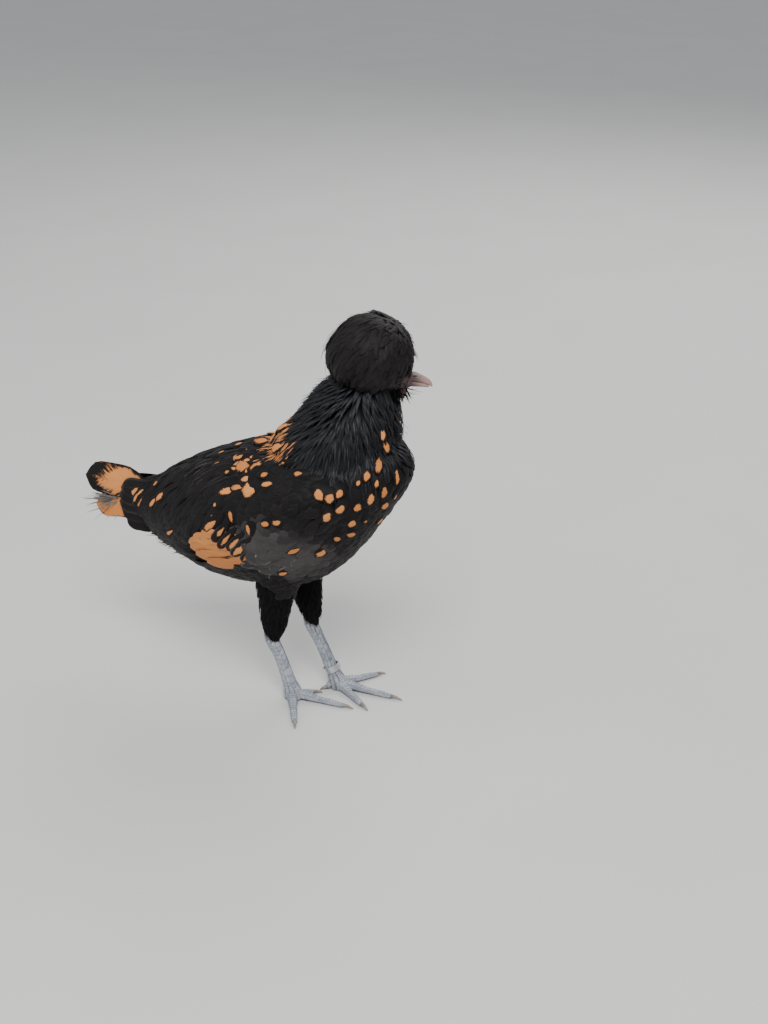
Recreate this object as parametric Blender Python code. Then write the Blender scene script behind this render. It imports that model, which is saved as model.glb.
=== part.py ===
"""Polish crested hen, a still life-size model that stands on its own feet.

Metres, +Z up, +X along the hen's heading and +Y to its left. The hen is built round the point
midway between its ankles. Its parent empty then brings the middle of its base to the origin.
Tables of sections and places are in millimetres and are scaled where a mesh is made.
"""

import math
import random
from collections import namedtuple

import bmesh
import bpy
import numpy as np
from mathutils import Matrix, Vector

Shop = namedtuple("Shop", "solids cutters")

MM = 0.001
GAP = 0.3
SEED = 11
SHARP_ANGLE = 50

# Body sections: x, y, z of the widest level, lean of the section, rise, drop, half width
TORSO = (
    (77, 0, 197, 0, 5, 5, 5),
    (73, 0, 197, 0, 15, 17, 17),
    (62, 0, 194, 0, 25, 31, 30),
    (44, 0, 187, 0, 33, 50, 41),
    (20, 0, 173, 0, 42, 64, 48),
    (-10, 0, 159, 0, 54, 67, 51),
    (-45, 0, 148, 0, 57, 60, 49),
    (-80, 0, 141, 0, 50, 51, 43),
    (-108, 0, 137, 0, 39, 38, 33),
    (-130, 0, 135, 0, 26, 27, 23),
    (-140, 0, 134, 0, 18, 19, 16),
)
# Behind this place the body is mostly loose plumage, and is its own lighter node
RUMP_START = -62
# Ends, size and level of the boxes that part the torso from the rump
BODY_ENDS = (-200, 120)
SLAB_SIZE = 200
SLAB_LEVEL = 150
# Rings along each form and points round it
DETAIL = {
    "torso": (19, 24), "neck": (9, 20), "head": (11, 18), "beak_upper": (9, 12), "beak_lower": (7, 10),
    "horn": (4, 6), "tail": (6, 14), "wing": (8, 12), "thigh": (9, 12), "shank": (11, 12),
    "toe": (9, 8), "claw": (6, 6),
}

# Neck sections lie level, so rise is towards the nape and drop towards the throat
NECK = (
    (54, 7, 268, 80, 13, 11, 13),
    (48, 6, 257, 85, 26, 17, 21),
    (40, 4, 245, 90, 33, 22, 27),
    (33, 2, 230, 90, 41, 31, 33),
    (24, 1, 214, 90, 48, 43, 39),
    (16, 0, 196, 90, 46, 50, 40),
)

# The head's own frame has its origin between the eyes and +X towards the beak
HEAD_PLACE = (60, 10, 265)
HEAD_TURN = 20
HEAD_NOD = 5
SKULL = (
    (-18, 0, -1, 0, 4, 5, 4.5),
    (-15, 0, -1, 0, 9, 9, 8.5),
    (-8, 0, 0, 0, 12, 12, 11),
    (0, 0, 0, 0, 12, 12, 11.5),
    (7, 0, -0.5, 0, 9.5, 10.5, 9.5),
    (12, 0, -1.5, 0, 6.5, 7.5, 6.5),
    (15, 0, -2, 0, 4, 5, 4.5),
)
UPPER_BEAK = (
    (9, 0, -1, 0, 4.6, 1.8, 4.8),
    (14, 0, -1, 0, 4.4, 1.9, 4.4),
    (19, 0, -1.4, 0, 3.9, 1.7, 3.7),
    (24, 0, -2.2, 0, 3.0, 1.7, 2.6),
    (27, 0, -3.4, 0, 2.1, 1.8, 1.6),
    (28.8, 0, -4.9, 0, 0.9, 1.1, 0.7),
)
LOWER_BEAK = (
    (8, 0, -4.6, 0, 2.6, 2.8, 4.2),
    (14, 0, -4.4, 0, 2.6, 2.6, 3.8),
    (20, 0, -4.6, 0, 2.6, 2.1, 2.9),
    (24, 0, -5.1, 0, 2.2, 1.4, 1.9),
    (26.4, 0, -5.7, 0, 1.4, 0.8, 0.9),
)
EYE_PLACE = (3.5, 7.9, 1.5)
EYE_RADIUS = 4.6
LID_OPENING = 50
LID_TUBE = 1.0
LID_STANDOFF = 0.7
LID_SQUASH = 0.88
NOSTRIL_PLACE = (16, 3.1, 1.5)
NOSTRIL_HUMP = (3.0, 1.5, 1.6)
NOSTRIL_SLIT = (1.5, 0.9, 0.6)
# The gape cuts a line this deep into each corner of the mouth
GAPE_PLACE = (12, 0, -3)
GAPE_HALF = (4, 8, 0.4)
COMB_PLACE = (11.5, 0, 4.4)
COMB_HALF = (2.2, 3.2, 1.6)
COMB_HORN = (
    (11.5, 1.4, 4, 90, 1.3, 1.3, 1.1),
    (11.0, 2.4, 7, 90, 0.9, 0.9, 0.8),
    (10.2, 3.6, 9.5, 90, 0.3, 0.3, 0.3),
)
WATTLE_PLACE = (8.5, 3.4, -11.5)
WATTLE_HALF = (2.8, 1.2, 4.4)
LOBE_PLACE = (-4, 10.9, -3.5)
LOBE_HALF = (2.6, 1.5, 3.2)

# Crest: a globe of feathers round a whorl that leans forward, in the head's frame
CREST_CENTRE = (-15, 0, 12)
CREST_RADIUS = 28.5
CREST_LEAN = 28
CREST_CORE = 0.5
# Angle from the whorl to the hem at the sides, and how much less it is in front and more behind
CREST_HEM = (121, 48, 26)
# Each tier's count of feathers, and how far down towards the hem its tips and its roots lie
CREST_TIERS = ((16, 1.0, 0.38), (12, 0.77, 0.29), (9, 0.55, 0.2), (6, 0.36, 0.1), (4, 0.22, 0.02))
# Stations along a crest feather: share of the way down, share of the crest's radius
CREST_ARCH = ((0, 0.38), (0.2, 0.76), (0.6, 0.98), (1.0, 1.02))
CREST_WIDTHS = (0.9, 3.2, 5.4, 1.9)
CREST_ROLL = 10
CREST_RAGGED = 1.2

# Vanes: half thickness along the shaft and at the edges, and the cup across them
SHAFT_DEPTH = 0.45
EDGE_DEPTH = 0.27
CUP = 0.13

# Each leg stands on its own ankle, and the hen's right leg is the one behind
ANKLES = {"left": (12.6, 14.3), "right": (-12.6, -14.3)}
SIDES = {"left": 1, "right": -1}
SHANK = (
    (1.5, 0, 0, 90, 5.8, 6.4, 6.2),
    (1.2, 0, 3, 90, 6.8, 7.8, 7.4),
    (0.4, 0, 8, 88, 6.4, 6.4, 6.4),
    (-2.0, 0.4, 15, 75, 5.6, 5.6, 5.2),
    (-8, 1.4, 34, 68, 5.4, 5.0, 4.6),
    (-13, 2.5, 46, 68, 7.0, 5.6, 5.2),
    (-14.5, 2.9, 52, 70, 6.8, 5.2, 4.6),
)
THIGH = (
    (-11.5, 2.8, 45.5, 68, 2.4, 3.0, 2.8),
    (-12.0, 3.0, 49.5, 70, 5.0, 5.6, 5.4),
    (-12.5, 3.2, 55, 74, 8.6, 8.6, 8.4),
    (-11.5, 3.6, 63, 80, 11.4, 11.2, 10.8),
    (-10.5, 4.0, 73, 86, 12.6, 13, 12.2),
    (-9, 5, 86, 90, 14.5, 15.5, 13.6),
    (-8, 5.6, 104, 90, 17, 18, 15.5),
    (-8, 1.6, 122, 90, 17, 18, 13.5),
)
# How far back each leg leans further than the rows above, at the height of the hock
LEG_SLANTS = {"left": 9.5, "right": 0}
HOCK_HEIGHT = 50
# How far back each thigh leans further still, for each millimetre above the hock
THIGH_LEANS = {"left": 0.13, "right": 0}
# Each toe's turn from the heading and its length with the claw
TOES = {
    "left": {1: (-133, 15), 2: (-32, 43), 3: (2, 54), 4: (53, 42)},
    "right": {1: (130, 20), 2: (40, 24), 3: (4, 51), 4: (-59, 46)},
}
CLAW_LENGTHS = {1: 5, 2: 7, 3: 8.5, 4: 7.5}
TOE_RADIUS = 4.0
TOE_TIP_RADIUS = 2.4
KNUCKLES = (1.0, 0.9, 0.86, 0.72, 0.78, 0.76, 0.66)
# Where a toe starts as a share of its length, and its level in radii with how far its root is raised
TOE_START = 0.08
TOE_LEVEL = 0.86
TOE_RISES = {1: 5, 2: 0.6, 3: 0.6, 4: 0.6}
CLAW_ROOT = 3
RING_PLACE = (-5.2, 0.5, 15.5)
RING_BAND = 5
RING_RADIUS = 6.6
SHANK_LEAN = 26

# Wing sections hug the torso: x, level, reach up, reach down, thickness over the torso
WING = (
    (46, 188, 5, 5, 2),
    (41, 187, 12, 13, 5),
    (26, 183, 19, 23, 8),
    (5, 176, 25, 28, 8.5),
    (-12, 167, 27, 33, 5.5),
    (-32, 157, 28, 35, 3.5),
    (-52, 148, 24, 29, 2),
    (-64, 143, 13, 16, 1),
)
WING_SINK = 4
WING_ROLL = 12
WING_MIN_LIFT = 2.5
# Wing feathers in tiers: count, first and last root, sag of the middle, first and last tip,
# bulge of the tips' line, lift over the torso, half width
WING_TIERS = (
    (2, (-50, 140), (-44, 133), 2, (-97, 141), (-93, 133), 0, 2.6, 5.5),
    (6, (-16, 172), (-10, 129), 6, (-60, 160), (-76, 132), 15, 4.6, 7),
    (5, (2, 178), (4, 134), 3, (-38, 172), (-38, 130), 8, 6.8, 6.5),
    (3, (16, 183), (14, 154), 2, (-14, 176), (-14, 144), 5, 8.8, 8),
)
WING_WIDTHS = (0.3, 0.75, 1.0, 0.5)
TAIL_ROOT = (
    (-126, 0, 137, 0, 24, 24, 20),
    (-140, 0, 136, 0, 21, 21, 16),
    (-152, 0, 135, 0, 14, 15, 9),
    (-160, 0, 134, 0, 5, 6, 3),
)
TAIL_ROLL = 12
# Tail feathers on each side: count, first and last root, first and last tip, bulge of the
# tips' line, half width
TAIL_TIERS = (
    (5, (-136, 3.5, 148), (-136, 7, 127), (-193, 4.5, 150), (-184, 9, 122), 6, 8.5),
    (3, (-124, 10, 147), (-124, 12, 126), (-165, 8, 150), (-162, 12, 123), 5, 9.5),
)
TAIL_WIDTHS = (0.45, 0.85, 1.0, 0.5)

BLACK = (0.022, 0.021, 0.024)
CHARCOAL = (0.050, 0.045, 0.044)
ORANGE = (0.62, 0.26, 0.09)
HORN = (0.56, 0.40, 0.36)
SLATE = (0.42, 0.45, 0.50)
CLAW_GREY = (0.34, 0.31, 0.28)
RED_SKIN = (0.45, 0.08, 0.07)
LOBE_WHITE = (0.72, 0.70, 0.68)
EYE_AMBER = (0.30, 0.10, 0.03)
BARE_METAL = (0.75, 0.76, 0.78)


def clear_scene():
    """Take every object out of the scene."""
    for old in list(bpy.data.objects):
        bpy.data.objects.remove(old, do_unlink=True)


def new_collection(name):
    """Add an empty collection to the scene."""
    collection = bpy.data.collections.new(name)
    bpy.context.scene.collection.children.link(collection)
    return collection


def new_frame(name, parent, place=(0, 0, 0), turn=0, nod=0):
    """Add an empty that pieces are set on, placed in millimetres and turned in degrees."""
    frame = bpy.data.objects.new(name, None)
    frame.empty_display_size = 0.02
    frame.location = Vector(place) * MM
    frame.rotation_euler = (0, math.radians(nod), math.radians(turn))
    frame.parent = parent
    bpy.context.scene.collection.objects.link(frame)
    return frame


def mesh_piece(name, collection, parent, points, faces):
    """Make one closed mesh object from points in millimetres, with its faces turned outwards."""
    shape = bmesh.new()
    corners = [shape.verts.new(Vector(point) * MM) for point in points]
    for face in faces:
        shape.faces.new([corners[index] for index in face])
    bmesh.ops.recalc_face_normals(shape, faces=shape.faces)
    return shape_piece(name, collection, parent, shape)


def shape_piece(name, collection, parent, shape):
    """Store a bmesh as an object on its frame."""
    mesh = bpy.data.meshes.new(name)
    shape.to_mesh(mesh)
    shape.free()
    piece = bpy.data.objects.new(name, mesh)
    piece.parent = parent
    collection.objects.link(piece)
    return piece


def finish(piece, colour, roughness, metallic=0.0):
    """Give a piece its own material."""
    material = bpy.data.materials.new(piece.name)
    material.use_nodes = True
    shader = material.node_tree.nodes["Principled BSDF"]
    shader.inputs["Base Color"].default_value = (*colour, 1.0)
    shader.inputs["Roughness"].default_value = roughness
    shader.inputs["Metallic"].default_value = metallic
    piece.data.materials.clear()
    piece.data.materials.append(material)
    piece.data.shade_smooth()
    piece.data.set_sharp_from_angle(angle=math.radians(SHARP_ANGLE))


def smooth_rows(rows, count):
    """Read rows of numbers as one smooth curve and give it back at even places."""
    rows = np.array(rows, dtype=float)
    last = len(rows) - 1
    result = []
    for place in np.linspace(0, last, count):
        start = min(int(place), last - 1)
        t = place - start
        before = rows[max(start - 1, 0)]
        here = rows[start]
        there = rows[start + 1]
        after = rows[min(start + 2, last)]
        pull = there - before
        bend = 2 * before - 5 * here + 4 * there - after
        twist = 3 * here - before - 3 * there + after
        result.append(here + 0.5 * (pull * t + bend * t ** 2 + twist * t ** 3))
    return result


def ring_points(row, count):
    """Points round one section, an oval whose upper and lower halves differ."""
    x, y, z, lean, rise, drop, width = row
    tilt = math.radians(lean)
    up = Vector((-math.sin(tilt), 0, math.cos(tilt)))
    points = []
    for step in range(count):
        angle = 2 * math.pi * step / count
        reach = rise if math.sin(angle) > 0 else drop
        middle = Vector((x, y + width * math.cos(angle), z))
        points.append(middle + up * reach * math.sin(angle))
    return points


def loft_faces(rings, count):
    """Faces of a tube through rings of equal count, closed at both ends."""
    faces = [tuple(range(count)), tuple(range((rings - 1) * count, rings * count))]
    for ring in range(rings - 1):
        for step in range(count):
            near = ring * count + step
            beside = ring * count + (step + 1) % count
            faces.append((near, beside, beside + count, near + count))
    return faces


def loft(name, collection, parent, rows, rings, count, side=1, floor=None):
    """Make a closed form through sections, mirrored for side -1 and cut flat at a floor."""
    points = []
    for row in smooth_rows(rows, rings):
        points.extend(ring_points(row, count))
    for point in points:
        point.y *= side
        if floor is not None:
            point.z = max(point.z, floor)
    return mesh_piece(name, collection, parent, points, loft_faces(rings, count))


def vane(collection, parent, spine, facing, widths, roll):
    """Make one closed feather vane along a spine, cupped, rolled and split alike on both faces."""
    points = []
    count = len(spine)
    for index, centre in enumerate(spine):
        along = spine[min(index + 1, count - 1)] - spine[max(index - 1, 0)]
        across = along.cross(facing[index]).normalized()
        across = Matrix.Rotation(math.radians(roll), 3, along) @ across
        out = across.cross(along).normalized()
        width = widths[index]
        edge = EDGE_DEPTH
        drop = CUP * width
        upper = ((-1, edge - drop), (0, SHAFT_DEPTH), (1, edge - drop))
        lower = ((1, -edge - drop), (0, -SHAFT_DEPTH), (-1, -edge - drop))
        for side, level in upper + lower:
            points.append(centre + across * side * width + out * level)
    faces = []
    for base, turn in ((0, 1), ((count - 1) * 6, -1)):
        for corners in ((0, 1, 4), (0, 4, 5), (1, 2, 3), (1, 3, 4)):
            faces.append(tuple(base + corner for corner in corners)[::turn])
    for station in range(count - 1):
        near = station * 6
        far = near + 6
        for first, second in ((0, 1), (1, 2), (4, 3), (5, 4), (2, 3), (5, 0)):
            faces.append((near + first, near + second, far + second))
            faces.append((near + first, far + second, far + first))
    return mesh_piece("vane", collection, parent, points, faces)


def bow(start, middle, end, count):
    """Points along a curve that starts, passes a middle point and ends."""
    points = []
    for step in range(count):
        t = step / (count - 1)
        pull = 2 * middle - (start + end) / 2
        points.append(start * (1 - t) ** 2 + pull * 2 * t * (1 - t) + end * t ** 2)
    return points


def ball(name, collection, parent, place, half, segments=12, rings=7):
    """Make an ellipsoid with its own three half sizes."""
    shape = bmesh.new()
    bmesh.ops.create_uvsphere(shape, u_segments=segments, v_segments=rings, radius=1)
    size = Matrix.Diagonal((*(Vector(half) * MM), 1))
    shape.transform(Matrix.Translation(Vector(place) * MM) @ size)
    return shape_piece(name, collection, parent, shape)


def torus(name, collection, parent, place, radius, tube, squash):
    """Make a ring that faces sideways, squashed in height."""
    around = 14
    section = 5
    points = []
    faces = []
    for step in range(around):
        angle = 2 * math.pi * step / around
        for turn in range(section):
            roll = 2 * math.pi * turn / section
            reach = radius + tube * math.cos(roll)
            point = Vector((reach * math.cos(angle), tube * math.sin(roll), 0))
            point.z = reach * math.sin(angle) * squash
            points.append(point + Vector(place))
            here = step * section
            there = (step + 1) % around * section
            after = (turn + 1) % section
            faces.append((here + turn, here + after, there + after, there + turn))
    return mesh_piece(name, collection, parent, points, faces)


def bake(piece):
    """Replace a piece's mesh by what its modifiers make of it."""
    bpy.context.view_layer.update()
    graph = bpy.context.evaluated_depsgraph_get()
    mesh = bpy.data.meshes.new_from_object(piece.evaluated_get(graph))
    piece.modifiers.clear()
    piece.data = mesh


def keep_largest(piece):
    """Drop every closed surface of a piece but the largest one."""
    shape = bmesh.new()
    shape.from_mesh(piece.data)
    bmesh.ops.remove_doubles(shape, verts=shape.verts, dist=1e-6)
    left = set(shape.faces)
    islands = []
    while left:
        island = set()
        waiting = [left.pop()]
        while waiting:
            face = waiting.pop()
            island.add(face)
            for edge in face.edges:
                for beside in edge.link_faces:
                    if beside in left:
                        left.remove(beside)
                        waiting.append(beside)
        islands.append(island)
    islands.sort(key=lambda island: sum(face.calc_area() for face in island))
    spare = [face for island in islands[:-1] for face in island]
    bmesh.ops.delete(shape, geom=spare, context="FACES")
    shape.to_mesh(piece.data)
    shape.free()


def clearance(piece, cutters, gap=GAP):
    """Keep a hidden copy of a plain form, swollen by the gap, that cuts its neighbours clear."""
    cutter = piece.copy()
    cutter.data = piece.data.copy()
    cutter.name = "clear_" + piece.name
    cutters.objects.link(cutter)
    cutter.hide_render = True
    cutter.display_type = "WIRE"
    swell = cutter.modifiers.new("gap", "DISPLACE")
    swell.strength = gap * MM
    swell.mid_level = 0
    return cutter


def carve(piece, *holes, solver="EXACT"):
    """Cut closed forms out of a piece together."""
    together = new_collection("holes")
    for hole in holes:
        together.objects.link(hole)
    cut = piece.modifiers.new("cut", "BOOLEAN")
    cut.operation = "DIFFERENCE"
    cut.operand_type = "COLLECTION"
    cut.collection = together
    cut.solver = solver
    bake(piece)
    bpy.data.collections.remove(together)
    keep_largest(piece)


def fuse(piece, extras, solver="EXACT"):
    """Join a collection of closed meshes to a piece and remove the collection."""
    join = piece.modifiers.new("join", "BOOLEAN")
    join.operation = "UNION"
    join.operand_type = "COLLECTION"
    join.collection = extras
    join.solver = solver
    bake(piece)
    for extra in list(extras.objects):
        bpy.data.objects.remove(extra, do_unlink=True)
    bpy.data.collections.remove(extras)
    keep_largest(piece)


def torso_side(x, z):
    """Half width of the torso at a place along it and a level, in millimetres."""
    rows = np.array(smooth_rows(TORSO, 60))[::-1]
    level, rise, drop, width = (np.interp(x, rows[:, 0], rows[:, column]) for column in (2, 4, 5, 6))
    reach = rise if z > level else drop
    return width * math.sqrt(max(1 - ((z - level) / reach) ** 2, 0.02))


def hug(x, z, lift, side):
    """Point that lies over the torso's side by the given lift."""
    return Vector((x, side * (torso_side(x, z) + lift), z))


def slab(name, collection, parent, start, end):
    """Make a tall box between two places along the body, that parts one node from the next."""
    shape = bmesh.new()
    bmesh.ops.create_cube(shape, size=1)
    size = Matrix.Diagonal((*(Vector((end - start, SLAB_SIZE, SLAB_SIZE)) * MM), 1))
    place = Vector(((start + end) / 2, 0, SLAB_LEVEL)) * MM
    shape.transform(Matrix.Translation(place) @ size)
    box = shape_piece(name, collection, parent, shape)
    box.hide_render = True
    box.display_type = "WIRE"
    return box


def build_torso(shop, root):
    """Make the breast, back and belly, and the lighter rump behind them."""
    torso = loft("torso", shop.solids, root, TORSO, *DETAIL["torso"])
    rump = loft("rump", shop.solids, root, TORSO, *DETAIL["torso"])
    room = [clearance(torso, shop.cutters)]
    carve(torso, slab("behind_torso", shop.cutters, root, BODY_ENDS[0], RUMP_START + GAP / 2))
    carve(rump, slab("before_rump", shop.cutters, root, RUMP_START - GAP / 2, BODY_ENDS[1]))
    finish(torso, BLACK, 0.6)
    finish(rump, BLACK, 0.7)
    return room


def build_skull(shop, head):
    """Make the head without its lids, nostrils and beard."""
    skull = loft("head", shop.solids, head, SKULL, *DETAIL["head"])
    finish(skull, BLACK, 0.6)
    return skull


def build_eyes(shop, head):
    """Make both eyeballs."""
    room = []
    for name, side in SIDES.items():
        x, y, z = EYE_PLACE
        half = (EYE_RADIUS,) * 3
        eye = ball("eye_" + name, shop.solids, head, (x, side * y, z), half)
        finish(eye, EYE_AMBER, 0.1)
        room.append(clearance(eye, shop.cutters))
    return room


def add_face(shop, head, skull, eye_room):
    """Add lids, sockets and the line of the mouth to the head."""
    room = [clearance(skull, shop.cutters)]
    lids = new_collection("face")
    opening = math.radians(LID_OPENING)
    reach = EYE_RADIUS + LID_STANDOFF
    for side in SIDES.values():
        x, y, z = EYE_PLACE
        place = (x, side * (y + reach * math.cos(opening)), z)
        lid = torus("lid", lids, head, place, reach * math.sin(opening), LID_TUBE, LID_SQUASH)
        room.append(clearance(lid, shop.cutters))
    fuse(skull, lids)
    gape = ball("gape", shop.cutters, head, GAPE_PLACE, GAPE_HALF, 16, 8)
    gape.hide_render = True
    gape.display_type = "WIRE"
    carve(skull, *eye_room, gape)
    return room


def build_beak(shop, head, skull_room):
    """Make the arched upper beak with its raised nostrils, and the lower one."""
    upper = loft("beak_upper", shop.solids, head, UPPER_BEAK, *DETAIL["beak_upper"])
    room = [clearance(upper, shop.cutters)]
    humps = new_collection("nostrils")
    slits = []
    x, y, z = NOSTRIL_PLACE
    for side in SIDES.values():
        hump = ball("hump", humps, head, (x, side * y, z), NOSTRIL_HUMP, 8, 5)
        room.append(clearance(hump, shop.cutters))
        place = (x + NOSTRIL_SLIT[0] / 2, side * (y + NOSTRIL_HUMP[1]), z)
        slit = ball("slit", shop.cutters, head, place, NOSTRIL_SLIT, 6, 4)
        slit.hide_render = True
        slit.display_type = "WIRE"
        slits.append(slit)
    fuse(upper, humps)
    carve(upper, *slits, *skull_room)
    finish(upper, HORN, 0.35)
    lower = loft("beak_lower", shop.solids, head, LOWER_BEAK, *DETAIL["beak_lower"])
    lower_room = clearance(lower, shop.cutters)
    carve(lower, *room, *skull_room)
    finish(lower, HORN, 0.4)
    return room + [lower_room]


def build_skin_parts(shop, head, skull_room, beak_room):
    """Make the small V comb, the wattles and the ear lobes."""
    comb = ball("comb", shop.solids, head, COMB_PLACE, COMB_HALF, 8, 5)
    room = [clearance(comb, shop.cutters)]
    horns = new_collection("horns")
    for side in SIDES.values():
        horn = loft("horn", horns, head, COMB_HORN, *DETAIL["horn"], side=side)
        room.append(clearance(horn, shop.cutters))
    fuse(comb, horns)
    carve(comb, *skull_room, *beak_room)
    finish(comb, RED_SKIN, 0.5)
    wattle = ("wattle_", WATTLE_PLACE, WATTLE_HALF, RED_SKIN)
    lobe = ("earlobe_", LOBE_PLACE, LOBE_HALF, LOBE_WHITE)
    for name, side in SIDES.items():
        for kind, (x, y, z), half, colour in (wattle, lobe):
            piece = ball(kind + name, shop.solids, head, (x, side * y, z), half, 10, 7)
            room.append(clearance(piece, shop.cutters))
            carve(piece, *skull_room, *beak_room)
            finish(piece, colour, 0.5)
    return room


def build_neck(shop, root, blockers):
    """Make the full-feathered neck between the head and the shoulders."""
    neck = loft("neck", shop.solids, root, NECK, *DETAIL["neck"])
    room = [clearance(neck, shop.cutters)]
    carve(neck, *blockers)
    finish(neck, BLACK, 0.5)
    return room


def crest_point(turn, fall, reach):
    """Point on the crest, turned round the whorl from the front and fallen from it, in degrees."""
    lean = math.radians(CREST_LEAN)
    whorl = Vector((math.sin(lean), 0, math.cos(lean)))
    ahead = Vector((math.cos(lean), 0, -math.sin(lean)))
    around = math.radians(turn)
    down = math.radians(fall)
    outward = ahead * math.cos(around) + Vector((0, math.sin(around), 0))
    return Vector(CREST_CENTRE) + (whorl * math.cos(down) + outward * math.sin(down)) * reach


def crest_feather(crest, head, turn, falls, stray):
    """Add one crest feather, which arches up from the core and bends over to its tip."""
    spine = []
    for along, (fall, reach) in enumerate(falls):
        share = along / (len(falls) - 1)
        lift = CREST_RAGGED * stray * share ** 3
        spine.append(crest_point(turn + 3 * stray * share, fall, CREST_RADIUS * reach + lift))
    facing = [point - Vector(CREST_CENTRE) for point in spine]
    vane(crest, head, spine, facing, CREST_WIDTHS, CREST_ROLL)


def build_crest(shop, head, room):
    """Make the crest, a small core with tiers of feathers that fall all round from its whorl."""
    half = (CREST_RADIUS * CREST_CORE,) * 3
    crest = ball("crest", shop.solids, head, CREST_CENTRE, half, 16, 9)
    feathers = new_collection("crest_feathers")
    draw = random.Random(SEED)
    side, front, back = CREST_HEM
    for tier, (count, tip_share, root_share) in enumerate(CREST_TIERS):
        for index in range(count):
            turn = 360 * (index + 0.5 * (tier % 2)) / count
            ahead = math.cos(math.radians(turn))
            hem = side - (front * ahead ** 2 if ahead > 0 else back * ahead)
            tip = hem * tip_share * (1 + 0.03 * draw.uniform(-1, 1))
            root = hem * root_share
            falls = [(root + (tip - root) * along, reach) for along, reach in CREST_ARCH]
            crest_feather(feathers, head, turn, falls, draw.uniform(-1, 1))
    fuse(crest, feathers)
    carve(crest, *room)
    finish(crest, CHARCOAL, 0.7)


def between(first, last, share):
    """Point a share of the way from one place to another."""
    return Vector(first).lerp(Vector(last), share)


def build_tail(shop, root, torso_room):
    """Make the tail, a short root with two tiers of feathers on each side like a tent."""
    tail = loft("tail", shop.solids, root, TAIL_ROOT, *DETAIL["tail"])
    feathers = new_collection("tail_feathers")
    for side in SIDES.values():
        for count, first, last, high, low, bulge, half in TAIL_TIERS:
            for index in range(count):
                share = index / (count - 1)
                start = between(first, last, share)
                end = between(high, low, share) - Vector((bulge * math.sin(math.pi * share), 0, 0))
                middle = (start + end) / 2 + Vector((0, 1, 1.5 - 3 * share))
                spine = bow(start, middle, end, len(TAIL_WIDTHS))
                for point in spine:
                    point.y *= side
                facing = [Vector((0, side, 0.15))] * len(spine)
                widths = [half * width for width in TAIL_WIDTHS]
                vane(feathers, root, spine, facing, widths, -side * TAIL_ROLL)
    fuse(tail, feathers)
    carve(tail, *torso_room)
    finish(tail, ORANGE, 0.6)


def wing_facing(x, z, side):
    """Outward direction of the torso's side at a place."""
    ahead = torso_side(x + 1, z) - torso_side(x - 1, z)
    above = torso_side(x, z + 1) - torso_side(x, z - 1)
    return Vector((-ahead, side * 2, -above))


def wing_fall(x, z, rows):
    """How much a wing's layers draw in towards its upper and lower rims at a place."""
    level, up, down = (np.interp(x, rows[:, 0], rows[:, column]) for column in (1, 2, 3))
    reach = up if z > level else down
    return math.sqrt(max(1 - ((z - level) / reach) ** 2, 0.1))


def add_wing_feathers(wing, root, side):
    """Add the tiers of a folded wing, from the flight feathers out to the small coverts."""
    feathers = new_collection("wing_feathers")
    rows = np.array(smooth_rows(WING, 40))[::-1]
    for count, first, last, sag, high, low, bulge, lift, half in WING_TIERS:
        for index in range(count):
            share = index / (count - 1)
            start = between(first, last, share)
            end = between(high, low, share) - Vector((bulge * math.sin(math.pi * share), 0))
            middle = (start + end) / 2 - Vector((0, sag * share))
            spine = []
            facing = []
            for x, z in bow(start, middle, end, len(WING_WIDTHS)):
                rise = max(lift * wing_fall(x, z, rows), WING_MIN_LIFT)
                spine.append(hug(x, z, rise, side))
                facing.append(wing_facing(x, z, side))
            widths = [half * width for width in WING_WIDTHS]
            vane(feathers, root, spine, facing, widths, -side * WING_ROLL)
    fuse(wing, feathers)


def build_wing(shop, root, name, side, room):
    """Make one folded wing that lies over the torso's side."""
    rings, count = DETAIL["wing"]
    points = []
    for x, level, up, down, thickness in smooth_rows(WING, rings):
        for step in range(count):
            angle = 2 * math.pi * step / count
            reach = up if math.sin(angle) > 0 else down
            depth = thickness if math.cos(angle) > 0 else WING_SINK
            lift = depth * math.cos(angle)
            points.append(hug(x, level + reach * math.sin(angle), lift, side))
    wing = mesh_piece("wing_" + name, shop.solids, root, points, loft_faces(rings, count))
    add_wing_feathers(wing, root, side)
    carve(wing, *room)
    finish(wing, BLACK, 0.6)


def slanted(rows, name, lean=0):
    """Lean a leg's sections back by its own slant, and further above the hock by a lean."""
    slant = LEG_SLANTS[name] / HOCK_HEIGHT
    return [(row[0] - slant * row[2] - lean * (row[2] - HOCK_HEIGHT), *row[1:]) for row in rows]


def build_thigh(shop, leg, name, side, torso_room):
    """Make one feathered thigh, which ends in a point at the hock."""
    rows = slanted(THIGH, name, THIGH_LEANS[name])
    thigh = loft("thigh_" + name, shop.solids, leg, rows, *DETAIL["thigh"], side=side)
    room = [clearance(thigh, shop.cutters)]
    carve(thigh, *torso_room)
    finish(thigh, BLACK, 0.7)
    return room


def build_shank(shop, leg, name, side, thigh_room):
    """Make one bare shank with the pad that it stands on."""
    rows = slanted(SHANK, name)
    shank = loft("shank_" + name, shop.solids, leg, rows, *DETAIL["shank"], side=side, floor=0)
    room = [clearance(shank, shop.cutters)]
    carve(shank, *thigh_room)
    finish(shank, SLATE, 0.7)
    return room


def toe_piece(name, collection, leg, turn, rows):
    """Make a toe or a claw from rows of reach, height and radius, flat where it meets the floor."""
    rings, count = DETAIL[name.split("_")[0]]
    angle = math.radians(turn)
    ahead = Vector((math.cos(angle), math.sin(angle), 0))
    across = Vector((-math.sin(angle), math.cos(angle), 0))
    points = []
    for reach, height, radius in smooth_rows(rows, rings):
        for step in range(count):
            roll = 2 * math.pi * (step + 0.5) / count
            point = ahead * reach + across * radius * math.cos(roll)
            point.z = max(height + radius * math.sin(roll), 0)
            points.append(point)
    return mesh_piece(name, collection, leg, points, loft_faces(rings, count))


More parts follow.
